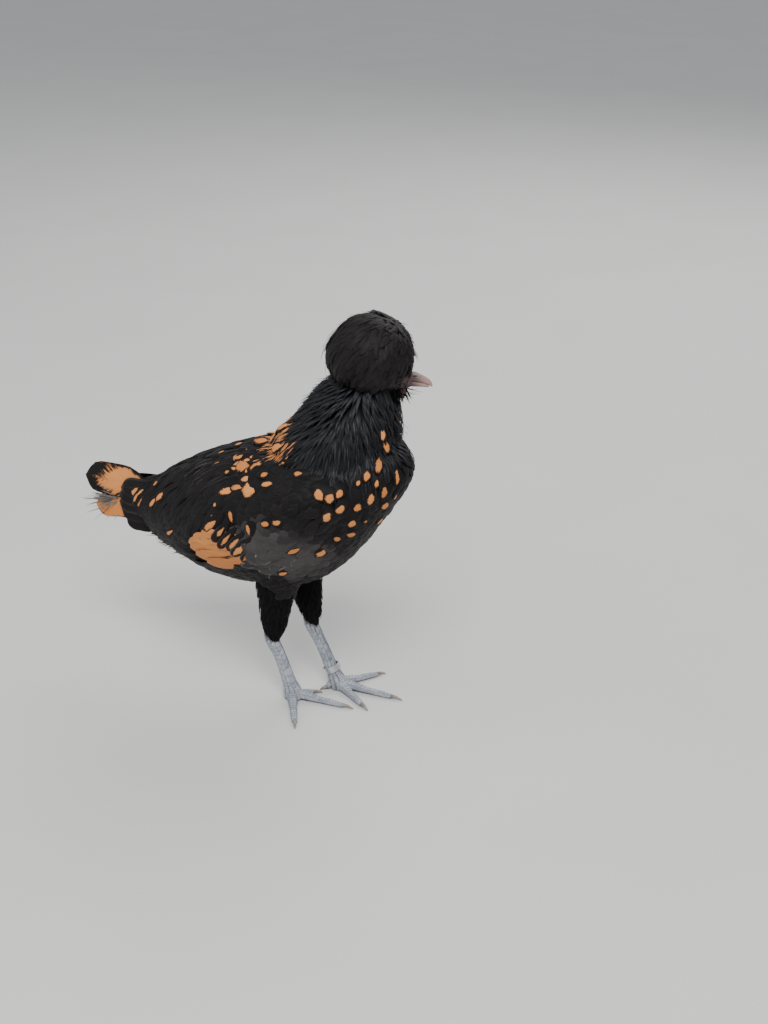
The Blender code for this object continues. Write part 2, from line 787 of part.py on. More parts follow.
def build_toe(shop, leg, name, number, room):
    """Make one toe and its claw, clear of what they meet."""
    turn, whole = TOES[name][number]
    reach = CLAW_LENGTHS[number]
    length = whole - reach
    rows = []
    for index, knuckle in enumerate(KNUCKLES):
        share = index / (len(KNUCKLES) - 1)
        radius = (TOE_RADIUS + (TOE_TIP_RADIUS - TOE_RADIUS) * share) * knuckle
        place = length * (TOE_START + (1 - TOE_START) * share)
        rows.append((place, radius * TOE_LEVEL + TOE_RISES[number] * (1 - share), radius))
    toe = toe_piece("toe_%s_%d" % (name, number), shop.solids, leg, turn, rows)
    toe_room = clearance(toe, shop.cutters)
    carve(toe, *room)
    finish(toe, SLATE, 0.7)
    claw_rows = (
        (length - CLAW_ROOT, 2.0, 1.5),
        (length, 2.1, 1.45),
        (length + reach * 0.4, 1.9, 1.15),
        (length + reach * 0.75, 1.2, 0.75),
        (length + reach, 0.4, 0.3),
    )
    claw = toe_piece("claw_%s_%d" % (name, number), shop.solids, leg, turn, claw_rows)
    carve(claw, toe_room)
    finish(claw, CLAW_GREY, 0.45)
    return toe_room


def build_foot(shop, leg, name, shank_room):
    """Make four toes, the middle one first, which its neighbours are cut clear of."""
    middle_room = build_toe(shop, leg, name, 3, shank_room)
    for number in (2, 4):
        build_toe(shop, leg, name, number, (*shank_room, middle_room))
    build_toe(shop, leg, name, 1, shank_room)


def build_leg_ring(shop, leg, shank_room):
    """Make the bare aluminium ring that lies round the left shank."""
    shape = bmesh.new()
    radius = RING_RADIUS * MM
    bmesh.ops.create_cone(
        shape, cap_ends=True, segments=16, radius1=radius, radius2=radius, depth=RING_BAND * MM
    )
    lean = Matrix.Rotation(math.radians(-SHANK_LEAN), 4, "Y")
    shape.transform(Matrix.Translation(Vector(RING_PLACE) * MM) @ lean)
    ring = shape_piece("leg_ring", shop.solids, leg, shape)
    carve(ring, *shank_room)
    finish(ring, BARE_METAL, 0.35, metallic=1.0)


def centre_base(solids, root):
    """Bring the middle of the whole hen's base to the origin."""
    bpy.context.view_layer.update()
    corners = [piece.matrix_world @ vertex.co for piece in solids.objects for vertex in piece.data.vertices]
    low = Vector(min(corner[axis] for corner in corners) for axis in range(3))
    high = Vector(max(corner[axis] for corner in corners) for axis in range(3))
    root.location = (-(low.x + high.x) / 2, -(low.y + high.y) / 2, -low.z)


def main():
    """Build the hen from the torso outwards."""
    clear_scene()
    shop = Shop(new_collection("polish_crested_hen"), new_collection("cutters"))
    root = new_frame("hen", None)
    head = new_frame("head_frame", root, HEAD_PLACE, HEAD_TURN, HEAD_NOD)
    torso_room = build_torso(shop, root)
    skull = build_skull(shop, head)
    eye_room = build_eyes(shop, head)
    skull_room = add_face(shop, head, skull, eye_room)
    beak_room = build_beak(shop, head, skull_room)
    skin_room = build_skin_parts(shop, head, skull_room, beak_room)
    head_room = skull_room + eye_room + beak_room + skin_room
    neck_room = build_neck(shop, root, torso_room + head_room)
    build_crest(shop, head, head_room + neck_room)
    build_tail(shop, root, torso_room)
    for name, side in SIDES.items():
        build_wing(shop, root, name, side, torso_room + neck_room)
        leg = new_frame("leg_" + name, root, (*ANKLES[name], 0))
        thigh_room = build_thigh(shop, leg, name, side, torso_room)
        shank_room = build_shank(shop, leg, name, side, thigh_room)
        build_foot(shop, leg, name, shank_room)
        if name == "left":
            build_leg_ring(shop, leg, shank_room)
    centre_base(shop.solids, root)


main()
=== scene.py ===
"""Looks of a polish crested hen: skin, plumage, face, legs, floor, light and camera.

Tables are in millimetres in the hen's own frame: +X along its heading, +Y to its left and the origin
on the floor midway between its ankles. Meshes are brought to the frame's metres when they are made.
"""

import math
from collections import namedtuple

import bpy
import numpy as np
from mathutils import Euler, Matrix, Vector
from mathutils.bvhtree import BVHTree
from mathutils.kdtree import KDTree


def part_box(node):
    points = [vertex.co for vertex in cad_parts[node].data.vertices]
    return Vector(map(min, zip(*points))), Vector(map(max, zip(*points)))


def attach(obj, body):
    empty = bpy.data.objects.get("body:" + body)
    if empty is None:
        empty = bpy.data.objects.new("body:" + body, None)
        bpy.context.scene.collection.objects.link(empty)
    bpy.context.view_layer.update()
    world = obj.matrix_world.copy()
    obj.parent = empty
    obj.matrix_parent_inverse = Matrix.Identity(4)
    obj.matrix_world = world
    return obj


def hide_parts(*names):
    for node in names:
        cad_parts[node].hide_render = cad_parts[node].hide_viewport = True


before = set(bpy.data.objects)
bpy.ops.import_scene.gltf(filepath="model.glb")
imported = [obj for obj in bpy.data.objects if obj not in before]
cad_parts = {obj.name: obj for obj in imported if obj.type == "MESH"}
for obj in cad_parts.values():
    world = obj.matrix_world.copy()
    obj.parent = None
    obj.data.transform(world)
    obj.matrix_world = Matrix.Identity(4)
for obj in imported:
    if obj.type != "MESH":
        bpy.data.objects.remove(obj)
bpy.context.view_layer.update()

MM = 0.001
SEED = 23
SIDES = {"left": 1, "right": -1}

# Body sections: x, y, z of the widest level, lean of the section, rise, drop, half width
TORSO = (
    (77, 0, 197, 0, 5, 5, 5),
    (73, 0, 197, 0, 15, 17, 17),
    (62, 0, 194, 0, 25, 31, 30),
    (44, 0, 187, 0, 33, 50, 41),
    (20, 0, 173, 0, 42, 64, 48),
    (-10, 0, 159, 0, 54, 67, 51),
    (-45, 0, 148, 0, 57, 60, 49),
    (-80, 0, 141, 0, 50, 51, 43),
    (-108, 0, 137, 0, 39, 38, 33),
    (-130, 0, 135, 0, 26, 27, 23),
    (-140, 0, 134, 0, 18, 19, 16),
)
NECK = (
    (54, 7, 268, 80, 13, 11, 13),
    (48, 6, 257, 85, 26, 17, 21),
    (40, 4, 245, 90, 33, 22, 27),
    (33, 2, 230, 90, 41, 31, 33),
    (24, 1, 214, 90, 48, 43, 39),
    (16, 0, 196, 90, 46, 50, 40),
)
TAIL_ROOT = (
    (-126, 0, 137, 0, 24, 24, 20),
    (-140, 0, 136, 0, 21, 21, 16),
    (-152, 0, 135, 0, 14, 15, 9),
    (-160, 0, 134, 0, 5, 6, 3),
)
# Wing sections hug the torso: x, level, reach up, reach down, thickness over the torso
WING = (
    (46, 188, 5, 5, 2),
    (41, 187, 12, 13, 5),
    (26, 183, 19, 23, 8),
    (5, 176, 25, 28, 8.5),
    (-12, 167, 27, 33, 5.5),
    (-32, 157, 28, 35, 3.5),
    (-52, 148, 24, 29, 2),
    (-64, 143, 13, 16, 1),
)
WING_SINK = 4

# The head's own frame has its origin between the eyes and +X towards the beak
HEAD_PLACE = (60, 10, 265)
HEAD_TURN = 20
HEAD_NOD = 5
SKULL = (
    (-18, 0, -1, 0, 4, 5, 4.5),
    (-15, 0, -1, 0, 9, 9, 8.5),
    (-8, 0, 0, 0, 12, 12, 11),
    (0, 0, 0, 0, 12, 12, 11.5),
    (7, 0, -0.5, 0, 9.5, 10.5, 9.5),
    (12, 0, -1.5, 0, 6.5, 7.5, 6.5),
    (15, 0, -2, 0, 4, 5, 4.5),
)
UPPER_BEAK = (
    (9, 0, -1, 0, 4.6, 1.8, 4.8),
    (14, 0, -1, 0, 4.4, 1.9, 4.4),
    (19, 0, -1.4, 0, 3.9, 1.7, 3.7),
    (24, 0, -2.2, 0, 3.0, 1.7, 2.6),
    (27, 0, -3.4, 0, 2.1, 1.8, 1.6),
    (28.8, 0, -4.9, 0, 0.9, 1.1, 0.7),
)
LOWER_BEAK = (
    (8, 0, -4.6, 0, 2.6, 2.8, 4.2),
    (14, 0, -4.4, 0, 2.6, 2.6, 3.8),
    (20, 0, -4.6, 0, 2.6, 2.1, 2.9),
    (24, 0, -5.1, 0, 2.2, 1.4, 1.9),
    (26.4, 0, -5.7, 0, 1.4, 0.8, 0.9),
)
EYE_PLACE = (3.5, 7.9, 1.5)
EYE_RADIUS = 4.6
LID_OPENING = 50
LID_STANDOFF = 0.7
LID_SQUASH = 0.88

# Crest: a globe of feathers round a whorl that leans forward, in the head's frame
CREST_CENTRE = (-15, 0, 12)
CREST_RADIUS = 28.5
CREST_LEAN = 28
CREST_HEM = (121, 48, 26)
CREST_ARCH = ((0, 0.38), (0.2, 0.76), (0.6, 0.98), (1.0, 1.02))
CREST_SKIN = 13
COMB_PLACE = (11.5, 0, 4.4)
COMB_HALF = (2.2, 3.2, 1.6)
COMB_HORN = (
    (11.5, 1.4, 4, 90, 1.3, 1.3, 1.1),
    (11.0, 2.4, 7, 90, 0.9, 0.9, 0.8),
    (10.2, 3.6, 9.5, 90, 0.3, 0.3, 0.3),
)
WATTLE_PLACE = (8.5, 3.4, -11.5)
WATTLE_HALF = (2.8, 1.2, 4.4)
LOBE_PLACE = (-4, 10.9, -3.5)
LOBE_HALF = (2.6, 1.5, 3.2)
NOSTRIL_PLACE = (16, 3.1, 1.5)
NOSTRIL_HUMP = (3.0, 1.5, 1.6)

ANKLES = {"left": (12.6, 14.3), "right": (-12.6, -14.3)}
SHANK = (
    (1.5, 0, 0, 90, 5.8, 6.4, 6.2),
    (1.2, 0, 3, 90, 6.8, 7.8, 7.4),
    (0.4, 0, 8, 88, 6.4, 6.4, 6.4),
    (-2.0, 0.4, 15, 75, 5.6, 5.6, 5.2),
    (-8, 1.4, 34, 68, 5.4, 5.0, 4.6),
    (-13, 2.5, 46, 68, 7.0, 5.6, 5.2),
    (-14.5, 2.9, 52, 70, 6.8, 5.2, 4.6),
)
THIGH = (
    (-11.5, 2.8, 45.5, 68, 2.4, 3.0, 2.8),
    (-12.0, 3.0, 49.5, 70, 5.0, 5.6, 5.4),
    (-12.5, 3.2, 55, 74, 8.6, 8.6, 8.4),
    (-11.5, 3.6, 63, 80, 11.4, 11.2, 10.8),
    (-10.5, 4.0, 73, 86, 12.6, 13, 12.2),
    (-9, 5, 86, 90, 14.5, 15.5, 13.6),
    (-8, 5.6, 104, 90, 17, 18, 15.5),
    (-8, 1.6, 122, 90, 17, 18, 13.5),
)
LEG_SLANTS = {"left": 9.5, "right": 0}
HOCK_HEIGHT = 50
THIGH_LEANS = {"left": 0.13, "right": 0}
TOES = {
    "left": {1: (-133, 15), 2: (-32, 43), 3: (2, 54), 4: (53, 42)},
    "right": {1: (130, 20), 2: (40, 24), 3: (4, 51), 4: (-59, 46)},
}
CLAW_LENGTHS = {1: 5, 2: 7, 3: 8.5, 4: 7.5}
TOE_RADIUS = 4.0
TOE_TIP_RADIUS = 2.4
KNUCKLES = (1.0, 0.9, 0.86, 0.72, 0.78, 0.76, 0.66)
TOE_START = 0.08
TOE_LEVEL = 0.86
TOE_RISES = {1: 5, 2: 0.6, 3: 0.6, 4: 0.6}
CLAW_ROOT = 3
RING_PLACE = (-5.2, 0.5, 15.5)
RING_BAND = 5
RING_RADIUS = 6.6
RING_WALL = 0.5
SHANK_LEAN = 26

# How deep the skin lies under the tips of each form's coat
DEPTHS = {"torso": 5, "neck": 3.8, "tail": 4, "thigh": 2.6, "wing": 4, "skull": 0.8}
SKIN_VOXEL = 1.5
GUIDE_VOXEL = 2.6
HEAD_VOXEL = 0.5
LEG_VOXEL = 0.75

# Camera, found from the fence behind the hen, in the hen's frame in metres
CAMERA_PLACE = (0.482, -0.9065, 0.620)
CAMERA_HEADING = (-0.423, 0.906)
CAMERA_PITCH = 24.5
CAMERA_LENS = 54.1
CAMERA_SENSOR = 36

Form = namedtuple("Form", "label points faces")
# Spines, outward directions and half widths of many feathers, their marks and their bake patches
Plumes = namedtuple("Plumes", "spines facings halves marks patches")


def unit(vectors):
    """Vectors scaled to a length of one."""
    return vectors / np.maximum(np.linalg.norm(vectors, axis=-1, keepdims=True), 1e-9)


def ramp(values, low, high):
    """Smooth step from 0 at the low value to 1 at the high one."""
    share = np.clip((np.asarray(values, dtype=float) - low) / (high - low), 0, 1)
    return share * share * (3 - 2 * share)


def smooth_rows(rows, count):
    """Read rows of numbers as one smooth curve and give it back at even places."""
    rows = np.array(rows, dtype=float)
    last = len(rows) - 1
    result = []
    for place in np.linspace(0, last, count):
        start = min(int(place), last - 1)
        t = place - start
        before = rows[max(start - 1, 0)]
        here = rows[start]
        there = rows[start + 1]
        after = rows[min(start + 2, last)]
        bend = 2 * before - 5 * here + 4 * there - after
        twist = 3 * here - before - 3 * there + after
        result.append(here + 0.5 * ((there - before) * t + bend * t ** 2 + twist * t ** 3))
    return np.array(result)


def shrink(rows, depth):
    """Draw sections in by a depth, and never by more than some of their size."""
    rows = np.array(rows, dtype=float)
    rows[:, 4:] -= np.minimum(depth, rows[:, 4:] * 0.45)
    return rows


def loft(label, rows, rings, count, side=1, floor=None):
    """Closed form through oval sections whose upper and lower halves differ."""
    angles = np.linspace(0, 2 * np.pi, count, endpoint=False)
    points = []
    for x, y, z, lean, rise, drop, width in smooth_rows(rows, rings):
        reach = np.where(np.sin(angles) > 0, rise, drop) * np.sin(angles)
        tilt = math.radians(lean)
        ring = np.stack([
            x - math.sin(tilt) * reach,
            side * (y + width * np.cos(angles)),
            z + math.cos(tilt) * reach,
        ], axis=1)
        points.append(ring)
    points = np.concatenate(points)
    if floor is not None:
        points[:, 2] = np.maximum(points[:, 2], floor)
    return Form(label, points, tube_faces(rings, count, side < 0))


def tube_faces(rings, count, flip=False):
    """Faces of a tube through rings of equal count, closed at both ends."""
    faces = [tuple(range(count)), tuple(range((rings - 1) * count, rings * count))[::-1]]
    for ring in range(rings - 1):
        for step in range(count):
            near = ring * count + step
            beside = ring * count + (step + 1) % count
            faces.append((near, near + count, beside + count, beside))
    if flip:
        faces = [face[::-1] for face in faces]
    return faces


def ball(label, centre, half, segments=32, rings=16):
    """Closed ellipsoid."""
    rows = []
    for turn in np.linspace(0.02, np.pi - 0.02, rings):
        rows.append((-math.cos(turn), math.sin(turn)))
    angles = np.linspace(0, 2 * np.pi, segments, endpoint=False)
    points = []
    for height, reach in rows:
        points.append(np.stack([
            reach * np.cos(angles), reach * np.sin(angles), np.full(segments, height)
        ], axis=1))
    points = np.concatenate(points) * np.array(half) + np.array(centre)
    return Form(label, points, tube_faces(rings, segments))


def head_matrix():
    """Matrix from the head's frame to the hen's, in millimetres."""
    turn = Euler((0, math.radians(HEAD_NOD), math.radians(HEAD_TURN))).to_matrix().to_4x4()
    return Matrix.Translation(HEAD_PLACE) @ turn


def moved(points, matrix):
    """Points taken through a matrix."""
    matrix = np.array(matrix)
    return np.asarray(points) @ matrix[:3, :3].T + matrix[:3, 3]


HEAD = head_matrix()


def on_head(form):
    """A form of the head's frame brought to the hen's."""
    return Form(form.label, moved(form.points, HEAD), form.faces)


def on_leg(form, name):
    """A form of a leg's frame brought to the hen's."""
    return Form(form.label, form.points + np.array([*ANKLES[name], 0]), form.faces)


def frame_shift():
    """Where the hen's origin lies in the frame, in metres, found from the eyes."""
    middle = Vector((0, 0, 0))
    for name in SIDES:
        low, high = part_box("eye_" + name)
        middle += (low + high) / 4
    x, _, z = EYE_PLACE
    return middle - (HEAD @ Vector((x, 0, z))) * MM


SHIFT = frame_shift()


def new_object(name, mesh, replaced=(), material=None):
    """Add a piece that rides with the hen."""
    piece = bpy.data.objects.new(name, mesh)
    bpy.context.scene.collection.objects.link(piece)
    if material:
        mesh.materials.append(material)
    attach(piece, "root")
    if replaced:
        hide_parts(*replaced)
    return piece


def form_mesh(name, forms):
    """One mesh in the frame's metres from closed forms."""
    points = []
    faces = []
    for form in forms:
        start = sum(len(some) for some in points)
        points.append(form.points)
        faces.extend(tuple(start + corner for corner in face) for face in form.faces)
    places = np.concatenate(points) * MM + np.array(SHIFT)
    mesh = bpy.data.meshes.new(name)
    mesh.from_pydata(places.tolist(), [], faces)
    mesh.update()
    return mesh


def remeshed(name, forms, voxel, smooth_steps, smooth_factor=0.5):
    """One closed mesh round all the forms, with their joints smoothed."""
    source = bpy.data.objects.new(name, form_mesh(name, forms))
    bpy.context.scene.collection.objects.link(source)
    remesh = source.modifiers.new("voxels", "REMESH")
    remesh.mode = "VOXEL"
    remesh.voxel_size = voxel * MM
    smooth = source.modifiers.new("smooth", "SMOOTH")
    smooth.factor = smooth_factor
    smooth.iterations = smooth_steps
    bpy.context.view_layer.update()
    graph = bpy.context.evaluated_depsgraph_get()
    mesh = bpy.data.meshes.new_from_object(source.evaluated_get(graph))
    bpy.data.objects.remove(source, do_unlink=True)
    return mesh


def torso_side(x, z):
    """Half width of the torso at places along it and levels."""
    rows = smooth_rows(TORSO, 60)[::-1]
    level, rise, drop, width = (np.interp(x, rows[:, 0], rows[:, column]) for column in (2, 4, 5, 6))
    reach = np.where(np.asarray(z) > level, rise, drop)
    return width * np.sqrt(np.maximum(1 - ((z - level) / reach) ** 2, 0.02))


def wing_form(side, depth):
    """The folded wing under its feathers, which hugs the torso."""
    rings = 14
    count = 18
    angles = np.linspace(0, 2 * np.pi, count, endpoint=False)
    points = []
    for x, level, up, down, thickness in smooth_rows(WING, rings):
        z = level + np.where(np.sin(angles) > 0, up, down) * np.sin(angles)
        lift = np.where(np.cos(angles) > 0, thickness, WING_SINK) * np.cos(angles) - depth
        y = side * (torso_side(x, z) + lift)
        points.append(np.stack([np.full(count, x), y, z], axis=1))
    return Form("wing", np.concatenate(points), tube_faces(rings, count, side < 0))


def slanted(rows, name, lean=0):
    """Lean a leg's sections back by its own slant, and further above the hock by a lean."""
    slant = LEG_SLANTS[name] / HOCK_HEIGHT
    return [(row[0] - slant * row[2] - lean * (row[2] - HOCK_HEIGHT), *row[1:]) for row in rows]


def toe_rows(name, number):
    """Reach, height and radius along a toe."""
    length = TOES[name][number][1] - CLAW_LENGTHS[number]
    rows = []
    for index, knuckle in enumerate(KNUCKLES):
        share = index / (len(KNUCKLES) - 1)
        radius = (TOE_RADIUS + (TOE_TIP_RADIUS - TOE_RADIUS) * share) * knuckle
        place = length * (TOE_START + (1 - TOE_START) * share)
        rows.append((place, radius * TOE_LEVEL + TOE_RISES[number] * (1 - share), radius))
    return rows


def claw_rows(name, number):
    """Reach, height and radius along a claw."""
    reach = CLAW_LENGTHS[number]
    length = TOES[name][number][1] - reach
    return (
        (length - CLAW_ROOT, 2.0, 1.5),
        (length, 2.1, 1.45),
        (length + reach * 0.4, 1.9, 1.15),
        (length + reach * 0.75, 1.2, 0.75),
        (length + reach, 0.4, 0.3),
    )


def toe_form(label, turn, rows, rings, count):
    """Closed toe or claw, flat where it meets the floor."""
    angle = math.radians(turn)
    ahead = np.array([math.cos(angle), math.sin(angle), 0])
    across = np.array([-math.sin(angle), math.cos(angle), 0])
    rolls = 2 * np.pi * (np.arange(count) + 0.5) / count
    points = []
    for reach, height, radius in smooth_rows(rows, rings):
        ring = ahead * reach + across * (radius * np.cos(rolls))[:, None]
        ring[:, 2] = np.maximum(height + radius * np.sin(rolls), 0)
        points.append(ring)
    return Form(label, np.concatenate(points), tube_faces(rings, count))


def torus(label, centre, radius, tube, squash, around=48, section=12):
    """Closed ring that faces sideways, squashed in height."""
    points = []
    faces = []
    for step in range(around):
        angle = 2 * math.pi * step / around
        for turn in range(section):
            roll = 2 * math.pi * turn / section
            reach = radius + tube * math.cos(roll)
            points.append((reach * math.cos(angle), tube * math.sin(roll), reach * math.sin(angle) * squash))
            here = step * section
            there = (step + 1) % around * section
            after = (turn + 1) % section
            faces.append((here + turn, there + turn, there + after, here + after))
    return Form(label, np.array(points) + np.array(centre), faces)


def flesh_forms():
    """The forms under the feathers, drawn in by the depth of their coats."""
    forms = [
        loft("torso", shrink(TORSO, DEPTHS["torso"]), 40, 48),
        loft("neck", shrink(NECK, DEPTHS["neck"]), 30, 40),
        loft("tail", shrink(TAIL_ROOT, DEPTHS["tail"]), 12, 24),
        on_head(loft("skull", shrink(SKULL, DEPTHS["skull"]), 24, 32)),
        on_head(ball("crest", CREST_CENTRE, (CREST_SKIN,) * 3)),
    ]
    for name, side in SIDES.items():
        forms.append(wing_form(side, DEPTHS["wing"]))
        rows = slanted(shrink(THIGH, DEPTHS["thigh"]), name, THIGH_LEANS[name])
        forms.append(on_leg(loft("thigh", rows, 20, 24, side=side), name))
    return forms


def leg_forms():
    """The bare legs and feet."""
    forms = []
    for name, side in SIDES.items():
        forms.append(on_leg(loft("shank", slanted(SHANK, name), 30, 32, side=side, floor=0), name))
        for number, (turn, _) in TOES[name].items():
            forms.append(on_leg(toe_form("toe", turn, toe_rows(name, number), 40, 24), name))
    return forms


def face_forms():
    """The skull with the rims of its lids."""
    forms = [loft("skull", shrink(SKULL, DEPTHS["skull"]), 40, 48)]
    opening = math.radians(LID_OPENING)
    reach = EYE_RADIUS + LID_STANDOFF
    for side in SIDES.values():
        x, y, z = EYE_PLACE
        centre = (x, side * (y + reach * math.cos(opening)), z)
        forms.append(torus("lid", centre, reach * math.sin(opening), 1.0, LID_SQUASH))
    return [on_head(form) for form in forms]


class Guide:
    """A smooth closed surface under the plumage, in millimetres, that the feathers lie along."""

    def __init__(self, mesh, forms):
        count = len(mesh.vertices)
        points = np.empty(count * 3, np.float32)
        mesh.vertices.foreach_get("co", points)
        self.points = (points.reshape(-1, 3) - np.array(SHIFT)) / MM
        normals = np.empty(count * 3, np.float32)
        mesh.vertices.foreach_get("normal", normals)
        normals = normals.reshape(-1, 3)
        faces = [tuple(polygon.vertices) for polygon in mesh.polygons]
        self.tree = BVHTree.FromPolygons(self.points.tolist(), faces)
        self.centres = np.array([self.points[list(face)].mean(axis=0) for face in faces])
        self.normals = unit(np.array([normals[list(face)].mean(axis=0) for face in faces]))
        self.areas = np.array([polygon.area for polygon in mesh.polygons]) / MM ** 2
        self.trees = {}
        for form in forms:
            self.trees.setdefault(form.label, []).append(
                BVHTree.FromPolygons(form.points.tolist(), form.faces)
            )

    def nearest(self, places):
        """Closest places on the surface and its outward direction there."""
        found = [self.tree.find_nearest(place) for place in places.tolist()]
        return np.array([hit[0][:] for hit in found]), self.normals[[hit[2] for hit in found]]

    def labels(self, places):
        """Name of the form that lies closest to each place."""
        names = list(self.trees)
        gaps = np.empty((len(names), len(places)))
        for row, name in enumerate(names):
            trees = self.trees[name]
            gaps[row] = [
                min(tree.find_nearest(place)[3] for tree in trees) for place in places.tolist()
            ]
        return np.array(names)[gaps.argmin(axis=0)]

    def scatter(self, draw, count):
        """Places all over the surface, as many to each face as its size calls for."""
        chosen = draw.choice(len(self.areas), count, p=self.areas / self.areas.sum())
        return self.centres[chosen] + draw.normal(0, 0.7, (count, 3))


def thin_out(places, gaps):
    """Keep places, in order, that lie further from every kept one than its gap."""
    tree = KDTree(len(places))
    for index, place in enumerate(places.tolist()):
        tree.insert(place, index)
    tree.balance()
    free = np.ones(len(places), bool)
    kept = []
    for index, place in enumerate(places.tolist()):
        if not free[index]:
            continue
        kept.append(index)
        for _, near, _ in tree.find_range(place, gaps[index]):
            free[near] = False
    return np.array(kept)


def lie_of(label, places):
    """Direction that the feathers of a form lie in at places, before it is laid on the surface."""
    x, y, z = places.T
    count = len(places)
    back = np.tile([-1.0, 0.0, -0.32], (count, 1))
    if label in ("torso", "wing"):
        front = ramp(x, 5, 70)[:, None]
        drop = np.tile([-0.25, 0.0, -1.0], (count, 1))
        saddle = (ramp(-x, 30, 75) * ramp(z, 118, 150))[:, None]
        sweep = np.tile([-0.62, 0.0, -0.8], (count, 1))
        way = back * (1 - front) + drop * front
        return way * (1 - saddle) + sweep * saddle
    if label == "neck":
        rows = smooth_rows(NECK, 30)[::-1]
        middle = np.interp(z, rows[:, 2], rows[:, 0])
        nape = ramp(middle - x, -15, 20)[:, None]
        down = np.tile([0.05, 0.0, -1.0], (count, 1))
        behind = np.tile([-0.62, 0.0, -0.8], (count, 1))
        return down * (1 - nape) + behind * nape
    if label == "thigh":
        return np.tile([-0.12, 0.0, -1.0], (count, 1))
    if label == "skull":
        return np.tile([-0.75, -0.2, -0.6], (count, 1))
    return back


def flow(guide, label, roots, lengths, heights, stations, turns):
    """Spines that start on the guide and follow the lie of the plumage over it."""
    shares = np.array(stations)
    places, normals = guide.nearest(roots)
    spine = []
    facing = []
    heading = None
    reached = 0.0
    for share in shares:
        step = (share - reached) * lengths
        reached = share
        way = lie_of(label, places)
        way = unit(way - normals * (way * normals).sum(axis=1)[:, None])
        side = np.cross(normals, way)
        angle = (turns * (1 - 0.5 * share))[:, None]
        way = way * np.cos(angle) + side * np.sin(angle)
        heading = way if heading is None else unit(heading + 0.8 * way)
        places, normals = guide.nearest(places + heading * step[:, None])
        spine.append(places)
        facing.append(normals)
    spine = np.stack(spine, axis=1)
    facing = np.stack(facing, axis=1)
    for _ in range(2):
        facing[:, 1:-1] = (facing[:, :-2] + 2 * facing[:, 1:-1] + facing[:, 2:]) / 4
    facing = unit(facing)
    rise = (1 - (1 - shares) ** 1.6) * (1 - TIP_DROP * shares ** 4)
    lift = -ROOT_DEPTH + (heights[:, None] + ROOT_DEPTH) * rise[None, :]
    return spine + facing * lift[:, :, None], facing


def outline(shape, stations):
    """Half width along a feather, as a share of its widest."""
    v = np.array(stations)
    if shape == "round":
        body = ramp(v, -0.1, 0.5) * 0.75 + 0.25
        return body * np.sqrt(np.clip(1 - np.clip((v - 0.62) / 0.39, 0, 1) ** 2.4, 0, 1))
    if shape == "lance":
        return (0.35 + 0.65 * ramp(v, 0, 0.35)) * (1 - ramp(v, 0.3, 1.04)) ** 0.75
    if shape == "scale":
        return (0.8 + 0.2 * ramp(v, 0, 0.4)) * np.sqrt(np.clip(1 - np.clip((v - 0.5) / 0.5, 0, 1) ** 3, 0, 1))
    return (0.3 + 0.7 * ramp(v, 0, 0.4)) * np.sqrt(np.clip(1 - np.clip((v - 0.78) / 0.23, 0, 1) ** 2.2, 0, 1))


# Where stations lie along a feather, closer together towards a rounded tip
STATIONS = {
    "round": (0.0, 0.22, 0.42, 0.6, 0.76, 0.89, 0.97),
    "lance": (0.0, 0.17, 0.34, 0.5, 0.66, 0.82, 0.94),
    "broad": (0.0, 0.12, 0.25, 0.38, 0.5, 0.62, 0.73, 0.83, 0.91, 0.965, 0.992),
    "scale": (0.0, 0.3, 0.6, 0.84, 0.97),
}
PATCH = 0.003
# How deep the roots are set, and how much of its lift a tip loses again as it bends to the body
ROOT_DEPTH = 0.6
TIP_DROP = 0.28


